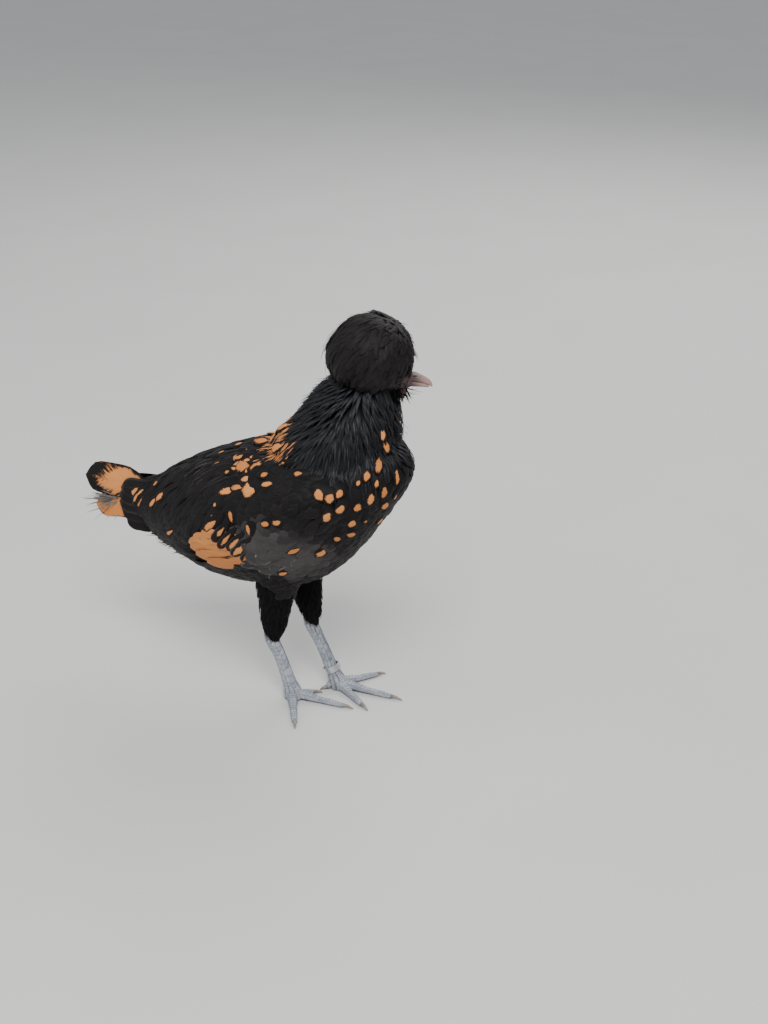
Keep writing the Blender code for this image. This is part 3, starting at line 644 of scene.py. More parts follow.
def feather_mesh(name, plumes, shares, columns, cup, thickness):
    """One mesh of closed feather vanes from plumes whose stations lie at the given shares."""
    spines, facings, halves, marks, patches = plumes
    count, stations, _ = spines.shape
    along = unit(np.gradient(spines, axis=1))
    across = unit(np.cross(along, facings))
    out = unit(np.cross(across, along))
    spread = np.linspace(-1, 1, columns)
    top = spread
    under = spread[-2:0:-1]
    section = len(top) + len(under)
    place = np.concatenate([top, under])
    depth = np.concatenate([1 - top ** 2, under ** 2 - 1]) * thickness
    half = np.where(place[None, None, :] < 0, halves[:, :, None, 0], halves[:, :, None, 1])
    reach = half * place
    sag = -cup * half * place ** 2 + depth
    rings = spines[:, :, None] + across[:, :, None] * reach[..., None] + out[:, :, None] * sag[..., None]
    start = spines[:, 0] - along[:, 0] * 0.3
    end = spines[:, -1] + along[:, -1] * halves[:, -1].mean(axis=1)[:, None] * 0.5
    each = stations * section + 2
    points = np.concatenate([start[:, None], rings.reshape(count, -1, 3), end[:, None]], axis=1)
    quads = []
    bake_quads = []
    levels = np.linspace(0.1, 0.9, stations)
    half_columns = columns - 1
    for station in range(stations - 1):
        for step in range(section):
            near = 1 + station * section + step
            beside = 1 + station * section + (step + 1) % section
            quads.append((near, beside, beside + section, near + section))
            left = (step + (0.5 if step >= half_columns else 0)) / (section + 0.5)
            right = left + 1 / (section + 0.5)
            low, high = levels[station], levels[station + 1]
            bake_quads.append(((left, low), (right, low), (right, high), (left, high)))
    fans = []
    bake_fans = []
    last = 1 + (stations - 1) * section
    for step in range(section):
        after = (step + 1) % section
        left = (step + (0.5 if step >= half_columns else 0)) / (section + 0.5)
        right = left + 1 / (section + 0.5)
        middle = (left + right) / 2
        fans.append((0, 1 + after, 1 + step))
        bake_fans.append(((middle, 0), (right, levels[0]), (left, levels[0])))
        fans.append((each - 1, last + step, last + after))
        bake_fans.append(((middle, 1), (left, levels[-1]), (right, levels[-1])))
    corners = np.concatenate([np.array(quads).ravel(), np.array(fans).ravel()])
    bake = np.concatenate([np.array(bake_quads).reshape(-1, 2), np.array(bake_fans).reshape(-1, 2)])
    totals = np.array([4] * len(quads) + [3] * len(fans))
    all_corners = (corners[None] + np.arange(count)[:, None] * each).ravel()
    all_totals = np.tile(totals, count)
    mesh = bpy.data.meshes.new(name)
    mesh.vertices.add(count * each)
    places = points.reshape(-1, 3) * MM + np.array(SHIFT)
    mesh.vertices.foreach_set("co", places.astype(np.float32).ravel())
    mesh.loops.add(len(all_corners))
    mesh.loops.foreach_set("vertex_index", all_corners.astype(np.int32))
    mesh.polygons.add(len(all_totals))
    starts = np.concatenate([[0], np.cumsum(all_totals)[:-1]])
    mesh.polygons.foreach_set("loop_start", starts.astype(np.int32))
    mesh.update(calc_edges=True)
    mesh.shade_smooth()
    rim_one = np.zeros(each, bool)
    for station in range(stations):
        rim_one[1 + station * section] = True
        rim_one[1 + station * section + half_columns] = True
    rim_one[0] = True
    rim_one[-1] = True
    rim = np.tile(rim_one, count)
    edges = np.empty(len(mesh.edges) * 2, np.int32)
    mesh.edges.foreach_get("vertices", edges)
    edges = edges.reshape(-1, 2)
    sharp = mesh.attributes.new("sharp_edge", "BOOLEAN", "EDGE")
    sharp.data.foreach_set("value", rim[edges[:, 0]] & rim[edges[:, 1]])
    u_one = np.concatenate([[0.5], np.tile((place + 1) / 2, stations), [0.5]])
    v_one = np.concatenate([[0], np.repeat(shares, section), [1]])
    feather_map = mesh.uv_layers.new(name="Feather")
    uv_one = np.stack([u_one, v_one], axis=1)[corners]
    feather_map.data.foreach_set("uv", np.tile(uv_one, (count, 1)).astype(np.float32).ravel())
    bake_map = mesh.uv_layers.new(name="OFBake")
    bake_all = patches[:, None] * (1 - PATCH) + bake[None] * PATCH
    bake_map.data.foreach_set("uv", bake_all.astype(np.float32).ravel())
    for mark, values in marks.items():
        layer = mesh.attributes.new(mark, "FLOAT_VECTOR", "POINT")
        layer.data.foreach_set("vector", np.repeat(values, each, axis=0).astype(np.float32).ravel())
    return mesh


def ragged(halves, draw, amount):
    """Half widths left and right of the shaft, each a little uneven along the edge."""
    sides = np.repeat(halves[:, :, None], 2, axis=2)
    return sides * (1 + amount * draw.uniform(-1, 1, sides.shape))


def skin_patches(label, roots):
    """Where roots lie on an unwrap of the skin, from 0 to 1 both ways."""
    x, y, z = roots.T
    if label == "neck":
        rows = smooth_rows(NECK, 30)[::-1]
        middle = np.interp(z, rows[:, 2], rows[:, 0])
        around = np.arctan2(y, x - middle) / (2 * np.pi) + 0.5
        return np.clip(np.stack([around, (z - 150) / 150], axis=1), 0, 1)
    if label == "thigh":
        leg = np.where(y > 0, 1, 0)
        centre = np.where(y > 0, ANKLES["left"][1] + 4, ANKLES["right"][1] - 4)
        around = np.arctan2(y - centre, x + 12) / (2 * np.pi) + 0.5
        return np.clip(np.stack([(around + leg) / 2, (z - 40) / 100], axis=1), 0, 1)
    if label in ("crest", "skull"):
        middle = np.array(HEAD @ Vector(CREST_CENTRE))
        away = roots - middle
        around = np.arctan2(away[:, 1], away[:, 0]) / (2 * np.pi) + 0.5
        height = np.arccos(np.clip(unit(away)[:, 2], -1, 1)) / np.pi
        return np.stack([around, height], axis=1)
    around = np.arctan2(y, z - 150) / (2 * np.pi) + 0.5
    return np.clip(np.stack([around, (x + 200) / 300], axis=1), 0, 1)


# Areas of spots on the small feathers: x, z, half sizes, chance, then spot's width, length and place
SPOT_AREAS = (
    (-14, 224, 26, 13, 0.95, 0.62, 0.32, 0.7),
    (-32, 202, 22, 12, 0.3, 0.6, 0.16, 0.8),
    (-88, 192, 16, 5, 0.6, 0.3, 0.25, 0.7),
    (86, 190, 13, 36, 0.12, 0.55, 0.17, 0.78),
)
# Spangles, the larger marks of single feathers on each side: x, z, half width and half length
SPANGLES = (
    (50, 226, 1.9, 3.7), (59, 219, 2.4, 6.0), (63, 211, 2.2, 5.2), (57, 205, 2.4, 3.0), (54, 200, 1.9, 1.7),
    (66, 198, 2.0, 2.3), (75, 199, 1.6, 4.2), (70, 190, 2.5, 3.3), (63, 186, 2.7, 3.7), (49, 190, 2.8, 2.2),
    (39, 190, 3.1, 3.0), (29, 193, 4.4, 3.0), (36, 178, 3.1, 3.5), (55, 179, 3.4, 3.2), (47, 180, 3.2, 2.8),
    (68, 177, 2.8, 2.7), (50, 166, 3.6, 3.0), (47, 155, 3.6, 2.3), (39, 154, 2.8, 2.0), (60, 161, 2.4, 2.8),
    (57, 167, 1.6, 1.2), (12, 200, 1.9, 2.5), (11, 142, 2.0, 6.0), (27, 141, 2.4, 3.8), (-4, 117, 1.9, 3.3),
    (-6, 166, 2.6, 2.8), (3, 169, 2.5, 3.1), (-20, 159, 4.4, 1.7), (-35, 163, 5.2, 1.8), (-52, 157, 2.2, 1.3),
    (-51, 167, 1.6, 1.5), (-39, 196, 5.4, 4.8), (-26, 197, 5.6, 6.8), (-43, 179, 3.0, 7.4), (-36, 182, 2.6, 5.2),
    (-24, 184, 5.0, 5.2), (-31, 189, 2.4, 3.6), (-16, 194, 2.5, 2.8), (-9, 190, 2.0, 3.7), (-51, 188, 1.7, 2.0),
    (-1, 203, 1.1, 1.7), (-36, 208, 3.8, 4.8), (-11, 208, 3.0, 5.6), (-24, 211, 4.8, 4.0), (-4, 214, 2.4, 5.6), (-16, 218, 3.0, 5.0), (-124, 160, 1.7, 2.4),
    (-123, 148, 1.8, 4.6), (-114, 156, 2.1, 6.2), (-103, 131, 1.6, 4.4),
)
# The longest a spangle's feather is, its rim beyond the mark, and its lift over the other feathers
SPANGLE_LENGTH = 19
SPANGLE_RIM = 1.5
SPANGLE_LIFT = 1.0
NO_SPOT = 0.001
# Outline of the bare flight feathers on a folded wing: x, z
BARE_WING = (
    (-60, 147), (-53, 149), (-44, 149), (-36, 146), (-27, 139), (-25, 131), (-42, 119),
    (-54, 113), (-69, 110), (-77, 118), (-81, 129), (-72, 138), (-65, 145),
)

# How far out from the middle a place has to be for that outline to count
BARE_WING_SIDE = 15


def markings(roots, draw, streak, pale):
    """Spots and shades of feathers that are rooted at the given places."""
    count = len(roots)
    x, _, z = roots.T
    spot = np.full((count, 3), NO_SPOT)
    luck = draw.uniform(0, 1, count)
    for at_x, at_z, half_x, half_z, chance, wide, long, along in SPOT_AREAS:
        away = ((x - at_x) / half_x) ** 2 + ((z - at_z) / half_z) ** 2
        picked = (luck < chance * (1 - ramp(away, 0.7, 1.3))) & (spot[:, 0] <= NO_SPOT)
        size = draw.uniform(0.6, 1.4, (count, 2))
        spot[picked] = (np.array([wide, long, along]) * np.column_stack([size, np.ones(count)]))[picked]
    shade = np.stack([
        draw.uniform(0, 1, count),
        streak * draw.uniform(0, 1, count) ** 2,
        pale * draw.uniform(0, 1, count),
    ], axis=1)
    return {"spot": spot, "shade": shade}


def inside(places, corners):
    """Which places lie within an outline seen from the side, however far out they are."""
    x = places[..., 0]
    z = places[..., 2]
    found = np.zeros(x.shape, bool)
    ring = np.array(corners)
    for (x1, z1), (x2, z2) in zip(ring, np.roll(ring, -1, axis=0)):
        crosses = (z1 > z) != (z2 > z)
        slope = (x2 - x1) / (z2 - z1 if z2 != z1 else 1)
        found ^= crosses & (x < x1 + slope * (z - z1))
    return found


# Coats: gap between roots, length, half width, height of the tips, shape, rib columns, cup, spread
COATS = {
    "torso": (3.2, 18.0, 3.8, 4.3, "round", 5, 0.2, 0.14),
    "wing": (3.4, 18.0, 4.2, 6.4, "round", 5, 0.2, 0.12),
    "neck": (1.9, 22.0, 1.5, 4.2, "lance", 3, 0.25, 0.13),
    "thigh": (1.9, 10.0, 1.4, 2.4, "lance", 3, 0.2, 0.16),
    "tail": (3.4, 18.0, 3.8, 3.6, "round", 5, 0.2, 0.12),
    "skull": (1.1, 4.6, 0.6, 1.1, "lance", 3, 0.2, 0.3),
}
CANDIDATES = 120000
# Thin loose feathers: name, x, y and z of the middle, half sizes, count, length, half width, height, lie
FLUFF = (
    ("throat", (63, 10, 245), (14, 13, 14), 800, 13, 0.5, 5.0, (0.25, 0, -1), 0.2, 0),
    ("nape", (26, 8, 256), (24, 18, 20), 600, 20, 1.0, 6.5, (-0.55, 0, -0.8), 0.08, 0),
    ("front", (70, 5, 236), (14, 16, 18), 400, 16, 0.9, 4.5, (0.05, 0, -1), 0.08, 0),
    ("vent", (-112, 0, 112), (34, 26, 18), 600, 14, 0.6, 3.2, (-1, 0, -0.45), 0.14, 0),
    ("tail", (-146, 0, 134), (13, 12, 14), 700, 33, 0.8, 3.0, (-1, 0, 0.0), 0.06, 0),
)
FLUFF_LOOKS = {"throat": "thigh", "nape": "neck", "front": "neck", "vent": "thigh", "tail": "down"}
# Where plumage is fuller than its form: label, x, z, half sizes, added height
FULLNESS = (
    ("torso", 70, 224, 14, 22, 2.4),
    ("neck", 66, 234, 18, 20, 3.6),
    ("neck", 26, 262, 26, 20, 5.5),
    ("neck", 52, 252, 20, 14, 4.5),
)
# How much fuller, longer and wider the feathers of the cheeks and nape are than those of the face
CHEEK_RISE = 5.5
CHEEK_LENGTH = 9
CHEEK_WIDTH = 0.8


def saddle_share(roots):
    """How much a root belongs to the saddle, whose feathers are long and narrow."""
    return ramp(-roots[:, 0], 28, 62) * ramp(roots[:, 2], 140, 168)


def smoke_share(roots):
    """How much a root belongs to the smoky flank over the front of the wing."""
    away = ((roots[:, 0] - 10) / 42) ** 2 + ((roots[:, 2] - 144) / 35) ** 2
    away = away + 0.12 * np.sin(roots[:, 0] * 0.9 + roots[:, 2] * 1.7)
    return (1 - ramp(away, 0.0, 1.25)) * ramp(np.abs(roots[:, 1]), 10, 30)


def rim_share(tips):
    """How much a feather's tip lies at the lower rear edge of the smoky flank."""
    away = ((tips[:, 0] + 14) / 22) ** 2 + ((tips[:, 2] - 121) / 11) ** 2
    return 1 - ramp(away, 0.5, 1.2)


def breast_share(roots):
    """How much a root belongs to the front of the breast, whose feathers are short."""
    return ramp(roots[:, 0], 45, 75)


def grow_coats(guide, draw):
    """Plumes of every form that the guide covers, by label."""
    places = guide.scatter(draw, CANDIDATES)
    places, _ = guide.nearest(places)
    places = places[thin_out(places, np.full(len(places), 1.0))]
    labels = guide.labels(places)
    coats = {}
    for label, (gap, length, half, height, shape, columns, cup, spread) in COATS.items():
        roots = places[labels == label]
        on_body = 1.0 if label in ("torso", "wing") else 0.0
        saddle = saddle_share(roots) * on_body
        smoke = smoke_share(roots) * on_body
        kept = thin_out(roots, gap * (1 - 0.25 * saddle + 0.25 * smoke))
        roots, saddle, smoke = roots[kept], saddle[kept], smoke[kept]
        count = len(roots)
        breast = breast_share(roots) * on_body
        lengths = length * draw.uniform(0.8, 1.2, count) * (1 + 0.7 * saddle - 0.3 * breast + 0.2 * smoke)
        widths = half * draw.uniform(0.8, 1.2, count) * (1 - 0.5 * saddle - 0.2 * breast + 0.5 * smoke)
        heights = height * draw.uniform(0.8, 1.1, count) * (1 - 0.2 * breast) + fullness(label, roots)
        if label == "skull":
            cheek = cheek_share(roots)
            lengths = lengths + CHEEK_LENGTH * cheek
            widths = widths + CHEEK_WIDTH * cheek
            heights = heights + CHEEK_RISE * cheek
        shares = np.array(STATIONS[shape])
        turns = draw.normal(0, spread, count)
        spines, facings = flow(guide, label, roots, lengths, heights, shares, turns)
        free = np.ones(count, bool)
        if on_body:
            room = room_beside(spines, shares, BARE_WING)
            free = room > 0.4
            spines, facings = flow(guide, label, roots, lengths * room, heights, shares, turns)
        halves = ragged(widths[:, None] * outline(shape, shares), draw, 0.14)
        # Pale shaft streaks: on the neck they are partly painted glints, on the saddle they are the feathers' own
        # colour.
        streak = {"neck": 0.3, "torso": 0.05}.get(label, 0.0) + 0.5 * saddle * ramp(roots[:, 2], 178, 196)
        marks = markings(roots, draw, streak, 0.04 + 0.9 * rim_share(spines[:, -1]) * on_body)
        luck = marks["shade"][:, 0]
        marks["shade"][:, 0] = luck * (1 - smoke) + 1.95 * smoke
        if label == "wing":
            marks["spot"][:] = NO_SPOT
        plumes = Plumes(spines, facings, halves, marks, skin_patches(label, roots))
        coats[label] = (picked(plumes, free), shares, columns, cup)
    return coats


def fullness(label, roots):
    """Height that is added to the plumage of a form at some places."""
    added = np.zeros(len(roots))
    for name, at_x, at_z, half_x, half_z, height in FULLNESS:
        if name == label:
            away = ((roots[:, 0] - at_x) / half_x) ** 2 + ((roots[:, 2] - at_z) / half_z) ** 2
            added += height * np.exp(-away)
    return added


def cheek_share(roots):
    """How much a root on the head belongs to the cheeks and nape."""
    places = moved(roots, HEAD.inverted())
    return ramp(-places[:, 0], -4, 6) * ramp(-places[:, 2], -8, 4)


def room_beside(spines, shares, corners):
    """Share of each spine that lies before an outline on the flanks."""
    met = inside(spines, corners) & (np.abs(spines[..., 1]) > BARE_WING_SIDE)
    return np.where(met.any(axis=1), shares[met.argmax(axis=1)], 1.0)


def picked(plumes, chosen):
    """Only some of the plumes."""
    marks = {name: values[chosen] for name, values in plumes.marks.items()}
    return Plumes(plumes.spines[chosen], plumes.facings[chosen], plumes.halves[chosen], marks, plumes.patches[chosen])


def grow_spangles(guide, draw):
    """Plumes of the single feathers with the larger marks, whose roots are found by going back from them."""
    shares = np.array(STATIONS["round"])
    x, z, wide, long = np.array(SPANGLES).T
    marks = []
    for side in SIDES.values():
        places = np.stack([x, side * (torso_side(x, z) + 2), z], axis=1)
        places[:, [0, 2]] += draw.normal(0, 0.5 if side < 0 else 2.5, (len(x), 2))
        kept = (side < 0) | (x < 45) | (z < 202)
        marks.append(np.column_stack([places, wide, long])[kept])
    marks = np.concatenate(marks)
    middles = marks[:, :3]
    wide, long = (marks[:, 3:] * draw.uniform(0.9, 1.1, (len(marks), 2))).T
    lengths = np.full(len(middles), float(SPANGLE_LENGTH))
    ahead = lengths - long - SPANGLE_RIM
    still = np.zeros(len(middles))
    back, _ = flow(guide, "torso", middles, -ahead, still, shares / shares[-1], still)
    roots = back[:, -1]
    own = np.array([COATS[label][3] for label in guide.labels(middles)])
    heights = np.maximum(own, COATS["torso"][3]) * (1 - 0.2 * breast_share(roots)) + fullness("torso", roots)
    over = ramp(middles[:, 2], 196, 208)
    heights = np.maximum(heights, over * (COATS["neck"][3] + fullness("neck", roots))) + SPANGLE_LIFT * (1 + over)
    spines, facings = flow(guide, "torso", roots, lengths, heights, shares, still)
    widths = wide + SPANGLE_RIM
    halves = ragged(widths[:, None] * outline("round", shares), draw, 0.1)
    spot = np.stack([wide / widths, long / lengths, ahead / lengths], axis=1)
    shade = np.stack([draw.uniform(0, 1, len(roots)), np.zeros(len(roots)), np.zeros(len(roots))], axis=1)
    return Plumes(spines, facings, halves, {"spot": spot, "shade": shade}, skin_patches("torso", roots))


def grow_fluff(guide, draw):
    """Plumes of thin loose feathers at the throat, nape, vent and belly."""
    shares = np.array(STATIONS["lance"])
    places = guide.scatter(draw, CANDIDATES)
    places, normals = guide.nearest(places)
    parts = {}
    for name, middle, half, count, length, width, height, way, stray, tone in FLUFF:
        near = (((places - np.array(middle)) / np.array(half)) ** 2).sum(axis=1) < 1
        roots = places[near][:count]
        out = normals[near][:count]
        count = len(roots)
        turn = np.array(way) + draw.normal(0, stray, (count, 3))
        turn = unit(turn - out * (turn * out).sum(axis=1)[:, None] * 0.97)
        lengths = length * draw.uniform(0.5, 1.25, count)
        heights = height * draw.uniform(0.5, 1.25, count)
        curl = draw.normal(0, stray, (count, 3)) - out * (0.25 * (out * turn).sum(axis=1))[:, None]
        along = lengths[:, None] * shares
        lift = heights[:, None] * (1 - (1 - shares) ** 1.6)
        spines = roots[:, None] + turn[:, None] * along[..., None] + out[:, None] * lift[..., None]
        spines = spines + curl[:, None] * (along * shares)[..., None]
        facings = np.repeat(out[:, None], len(shares), axis=1)
        widths = width * draw.uniform(0.7, 1.3, count)
        halves = ragged(widths[:, None] * outline("lance", shares), draw, 0.2)
        luck = draw.uniform(0, 1, count)
        shade = np.stack([luck * 0.7 + tone, np.zeros(count), luck * min(tone, 1)], axis=1)
        marks = {"spot": np.full((count, 3), NO_SPOT), "shade": shade}
        parts[name] = Plumes(spines, facings, halves, marks, skin_patches("torso", roots))
    return parts


def crest_points(turns, falls, reaches):
    """Places on the crest, turned round the whorl from the front and fallen from it, in degrees."""
    lean = math.radians(CREST_LEAN)
    whorl = np.array([math.sin(lean), 0, math.cos(lean)])
    ahead = np.array([math.cos(lean), 0, -math.sin(lean)])
    around = np.radians(turns)[..., None]
    down = np.radians(falls)[..., None]
    outward = ahead * np.cos(around) + np.array([0, 1, 0]) * np.sin(around)
    away = whorl * np.cos(down) + outward * np.sin(down)
    points = away * reaches[..., None] * CREST_RADIUS
    behind = ramp(-points[..., 0], 2, 16) * ramp(-points[..., 2], -20, 2) * (1 - 0.6 * ramp(-points[..., 2], 6, 20))
    points[..., 0] -= CREST_TRAIL * behind
    return np.array(CREST_CENTRE) + points


# How far the back of the crest trails off onto the nape
CREST_TRAIL = 2.8
# Locks of the crest: degrees round the whorl, locks along a fall, and their stray in degrees and swell
LOCK_TURN = 17
LOCK_FALLS = 4
LOCK_STRAY = 7
LOCK_SWELL = 0.02
CREST_FEATHERS = 1500
CREST_WIDTH = 2.1
# Loose thin feathers that stand out from the crest
WISPS = 420
WISP_WIDTH = 0.55
# How much longer the hem is in the finer crest, in degrees: at the sides, in front and behind
HEM_MORE = (10, 4, 12)


def crest_plumes(draw, count, tip_share, width, shape, swell, stray):
    """Plumes that arch up from the skin's knob and fall all round from the whorl."""
    shares = np.array(STATIONS[shape])
    turns = (np.arange(count) * 137.508 + draw.normal(0, 5, count)) % 360
    ahead = np.cos(np.radians(turns))
    side, front, back = CREST_HEM
    more_side, more_front, more_back = HEM_MORE
    hem = side + more_side - np.where(ahead > 0, (front - more_front) * ahead ** 2, (back + more_back) * ahead)
    tips = hem * tip_share * draw.uniform(0.88, 1.08, count)
    roots = hem * np.maximum(0.42 * tip_share - 0.05, 0.004)
    falls = roots[:, None] + (tips - roots)[:, None] * shares
    arch = np.array(CREST_ARCH)
    reaches = np.interp(shares, arch[:, 0], arch[:, 1])[None] * np.ones((count, 1))
    near_whorl = ((1 - tip_share) ** 2 * 0.45)[:, None] * (1 - shares)
    reaches = np.minimum(reaches + near_whorl, 1.02) + swell[:, None] * shares ** 2
    row = (tip_share * LOCK_FALLS + draw.normal(0, 0.15, count)).astype(int)
    lock = (turns / LOCK_TURN + 0.5 * row).astype(int) % 60 + 60 * row
    lock_draw = draw.normal(0, 1, (lock.max() + 1, 2))
    swell = swell + LOCK_SWELL * lock_draw[lock, 1]
    reaches = reaches + (LOCK_SWELL * lock_draw[lock, 1])[:, None] * shares
    sway = (stray * draw.normal(0, 1, count) + LOCK_STRAY * lock_draw[lock, 0])[:, None] * shares ** 2
    spines = crest_points(turns[:, None] + sway, falls, reaches)
    facings = unit(spines - np.array(CREST_CENTRE))
    spines = moved(spines, HEAD)
    facings = facings @ np.array(HEAD)[:3, :3].T
    profile = outline(shape, shares)
    profile[0] = 0.3
    widths = width * draw.uniform(0.7, 1.3, count)
    halves = ragged(widths[:, None] * profile, draw, 0.2)
    spot = np.full((count, 3), NO_SPOT)
    shade = np.stack([draw.uniform(0, 1, count), np.zeros(count), np.zeros(count)], axis=1)
    marks = {"spot": spot, "shade": shade}
    return Plumes(spines, facings, halves, marks, skin_patches("crest", spines[:, 2]))


def grow_crest(draw):
    """Plumes of the crest in full."""
    order = (np.arange(CREST_FEATHERS) + 0.5) / CREST_FEATHERS
    swell = draw.normal(0, 0.014, CREST_FEATHERS)
    return crest_plumes(draw, CREST_FEATHERS, 0.05 + 0.95 * order ** 0.6, CREST_WIDTH, "broad", swell, 5)


def grow_wisps(draw):
    """Plumes of the loose feathers on the crest."""
    order = draw.uniform(0.25, 1.05, WISPS)
    swell = 0.15 * draw.uniform(0, 1, WISPS) ** 2
    return crest_plumes(draw, WISPS, order, WISP_WIDTH, "lance", swell, 9)


# Wing feathers in tiers: count, first and last root, sag of the middle, first and last tip,
# bulge of the tips' line, lift over the torso, half width, then a spot's width, length and place, and jitter
WING_TIERS = (
    (6, (-20, 147), (-21, 136), 4, (-64, 142), (-64, 117), 14, 3.4, 7.6, 1.25, 1.2, 0.5, 0.05),
    (6, (-44, 163), (-13, 149), 1, (-60, 145), (-29, 127), 0, 4.9, 4.0, 0.46, 0.3, 0.62, 0.2),
)
WING_MIN_LIFT = 2.2


def bow(start, middle, end, shares):
    """Points along curves that start, pass a middle point and end."""
    t = np.asarray(shares)[None, :, None]
    pull = 2 * middle - (start + end) / 2
    return start[:, None] * (1 - t) ** 2 + pull[:, None] * 2 * t * (1 - t) + end[:, None] * t ** 2


def spread_out(first, last, shares):
    """Places from one to another."""
    return np.array(first) + (np.array(last) - np.array(first)) * shares[:, None]


def wing_fall(x, z):
    """How much a wing's layers draw in towards its upper and lower rims."""
    rows = smooth_rows(WING, 40)[::-1]
    level, up, down = (np.interp(x, rows[:, 0], rows[:, column]) for column in (1, 2, 3))
    reach = np.where(z > level, up, down)
    return np.sqrt(np.maximum(1 - ((z - level) / reach) ** 2, 0.1))


def grow_wings(draw):
    """Plumes of both folded wings."""
    shares = np.array(STATIONS["broad"])
    parts = []
    for side in SIDES.values():
        for count, first, last, sag, high, low, bulge, lift, half, wide, long, along, jitter in WING_TIERS:
            spread = np.linspace(0, 1, count)
            start = spread_out(first, last, spread)
            end = spread_out(high, low, spread)
            end[:, 0] -= bulge * np.sin(np.pi * spread)
            end += draw.normal(0, 6 * jitter, (count, 2))
            middle = (start + end) / 2
            middle[:, 1] -= sag * spread
            path = bow(start, middle, end, shares)
            x = path[..., 0]
            z = path[..., 1]
            rise = np.maximum(lift * wing_fall(x, z), WING_MIN_LIFT)
            spines = np.stack([x, side * (torso_side(x, z) + rise), z], axis=2)
            ahead = torso_side(x + 1, z) - torso_side(x - 1, z)
            above = torso_side(x, z + 1) - torso_side(x, z - 1)
            facings = unit(np.stack([-ahead, np.full(x.shape, 2.0 * side), -above], axis=2))
            across = unit(np.cross(unit(np.gradient(spines, axis=1)), facings))
            facings = unit(facings + across * side * 0.21)
            profile = outline("broad", shares)
            halves = ragged(half * draw.uniform(1 - jitter, 1 + jitter, count)[:, None] * profile, draw, 0.03)
            spot = np.tile([wide, long, along], (count, 1)) * draw.uniform(1 - jitter, 1 + 0.5 * jitter, (count, 1))
            shade = np.stack([
                draw.uniform(0, 1, count), np.zeros(count), 0.2 * draw.uniform(0, 1, count)
            ], axis=1)
            marks = {"spot": spot, "shade": shade}
            parts.append(Plumes(spines, facings, halves, marks, skin_patches("wing", spines[:, 0])))
    return together(parts)


def together(parts):
    """Plumes of several kinds as one."""
    marks = {name: np.concatenate([part.marks[name] for part in parts]) for name in parts[0].marks}
    return Plumes(
        np.concatenate([part.spines for part in parts]),
        np.concatenate([part.facings for part in parts]),
        np.concatenate([part.halves for part in parts]),
        marks,
        np.concatenate([part.patches for part in parts]),
    )


# Tail feathers on each side: count, first and last root, first and last tip, bulge, half width,
# then a spot's width, length and place
TAIL_TIERS = (
    (1, (-136, 3.5, 147), (-136, 3.5, 147), (-194, 4.5, 149), (-194, 4.5, 149), 0, 12.5, 0.93, 0.39, 0.41),
    (1, (-134, 6, 132), (-134, 6, 132), (-184, 8, 128), (-184, 8, 128), 0, 10, 0.95, 0.6, 0.5),
    (5, (-120, 9, 148), (-122, 12, 126), (-160, 8, 146), (-154, 12, 124), 4, 8, 0.001, 0.2, 0.72),
    (4, (-139, 9.5, 153), (-122, 15.5, 158), (-155, 9, 137), (-136, 17, 135), 0, 3.8, 0.5, 0.32, 0.64),
)


def grow_tail(draw):
    """Plumes of the tail, like a tent."""
    shares = np.array(STATIONS["broad"])
    parts = []
    for side in SIDES.values():
        for count, first, last, high, low, bulge, half, wide, long, along in TAIL_TIERS:
            spread = np.linspace(0, 1, count)
            start = spread_out(first, last, spread)
            end = spread_out(high, low, spread)
            end[:, 0] -= bulge * np.sin(np.pi * spread)
            middle = (start + end) / 2
            middle[:, 1] += 1
            middle[:, 2] += 1.5 - 3 * spread
            spines = bow(start, middle, end, shares) * np.array([1, side, 1])
            facings = np.tile(unit(np.array([0, side, 0.35])), (count, len(shares), 1))
            profile = outline("broad", shares)
            halves = ragged(np.full(count, half)[:, None] * profile, draw, 0.04)
            spot = np.tile([wide, long, along], (count, 1)) * draw.uniform(0.96, 1.03, (count, 1))
            shade = np.stack([
                draw.uniform(0, 1, count), np.zeros(count), 0.1 * draw.uniform(0, 1, count)
            ], axis=1)
            marks = {"spot": spot, "shade": shade}
            parts.append(Plumes(spines, facings, halves, marks, skin_patches("tail", spines[:, 0])))
    return together(parts)


def loft_surface(rows, shares, turns, side):
    """Places on a loft at shares of its length and turns round it in degrees, and the outward way."""
    table = smooth_rows(rows, 120)
    row = np.stack([np.interp(shares, np.linspace(0, 1, 120), column) for column in table.T])
    x, y, z, lean, rise, drop, width = row
    angle = np.radians(turns)
    tilt = np.radians(lean)
    reach = np.where(np.sin(angle) > 0, rise, drop) * np.sin(angle)
    places = np.stack([x - np.sin(tilt) * reach, side * (y + width * np.cos(angle)), z + np.cos(tilt) * reach], axis=-1)
    out = np.where(np.sin(angle) > 0, rise, drop) ** -1 * np.sin(angle)
    facing = np.stack([-np.sin(tilt) * out, side * np.cos(angle) / width, np.cos(tilt) * out], axis=-1)
    return places, unit(facing)


# Rows of scales on a shank: turn round it, count, length, half width, sideways shift every other row
SHANK_SCALES = (
    (-112, 15, 5.0, 2.9),
    (-68, 15, 5.0, 2.9),
    (-28, 20, 3.2, 1.6),
    (-152, 20, 3.2, 1.6),
    (8, 22, 2.8, 1.5),
    (172, 22, 2.8, 1.5),
    (42, 20, 3.2, 1.8),
    (138, 20, 3.2, 1.8),
    (74, 16, 4.2, 2.2),
    (106, 16, 4.2, 2.2),
)
# Rows of scales on a toe: roll round it, half width as a share of the toe's radius
TOE_SCALES = ((90, 0.95), (38, 0.5), (142, 0.5), (4, 0.45), (176, 0.45))
SCALE_STEP = 2.7


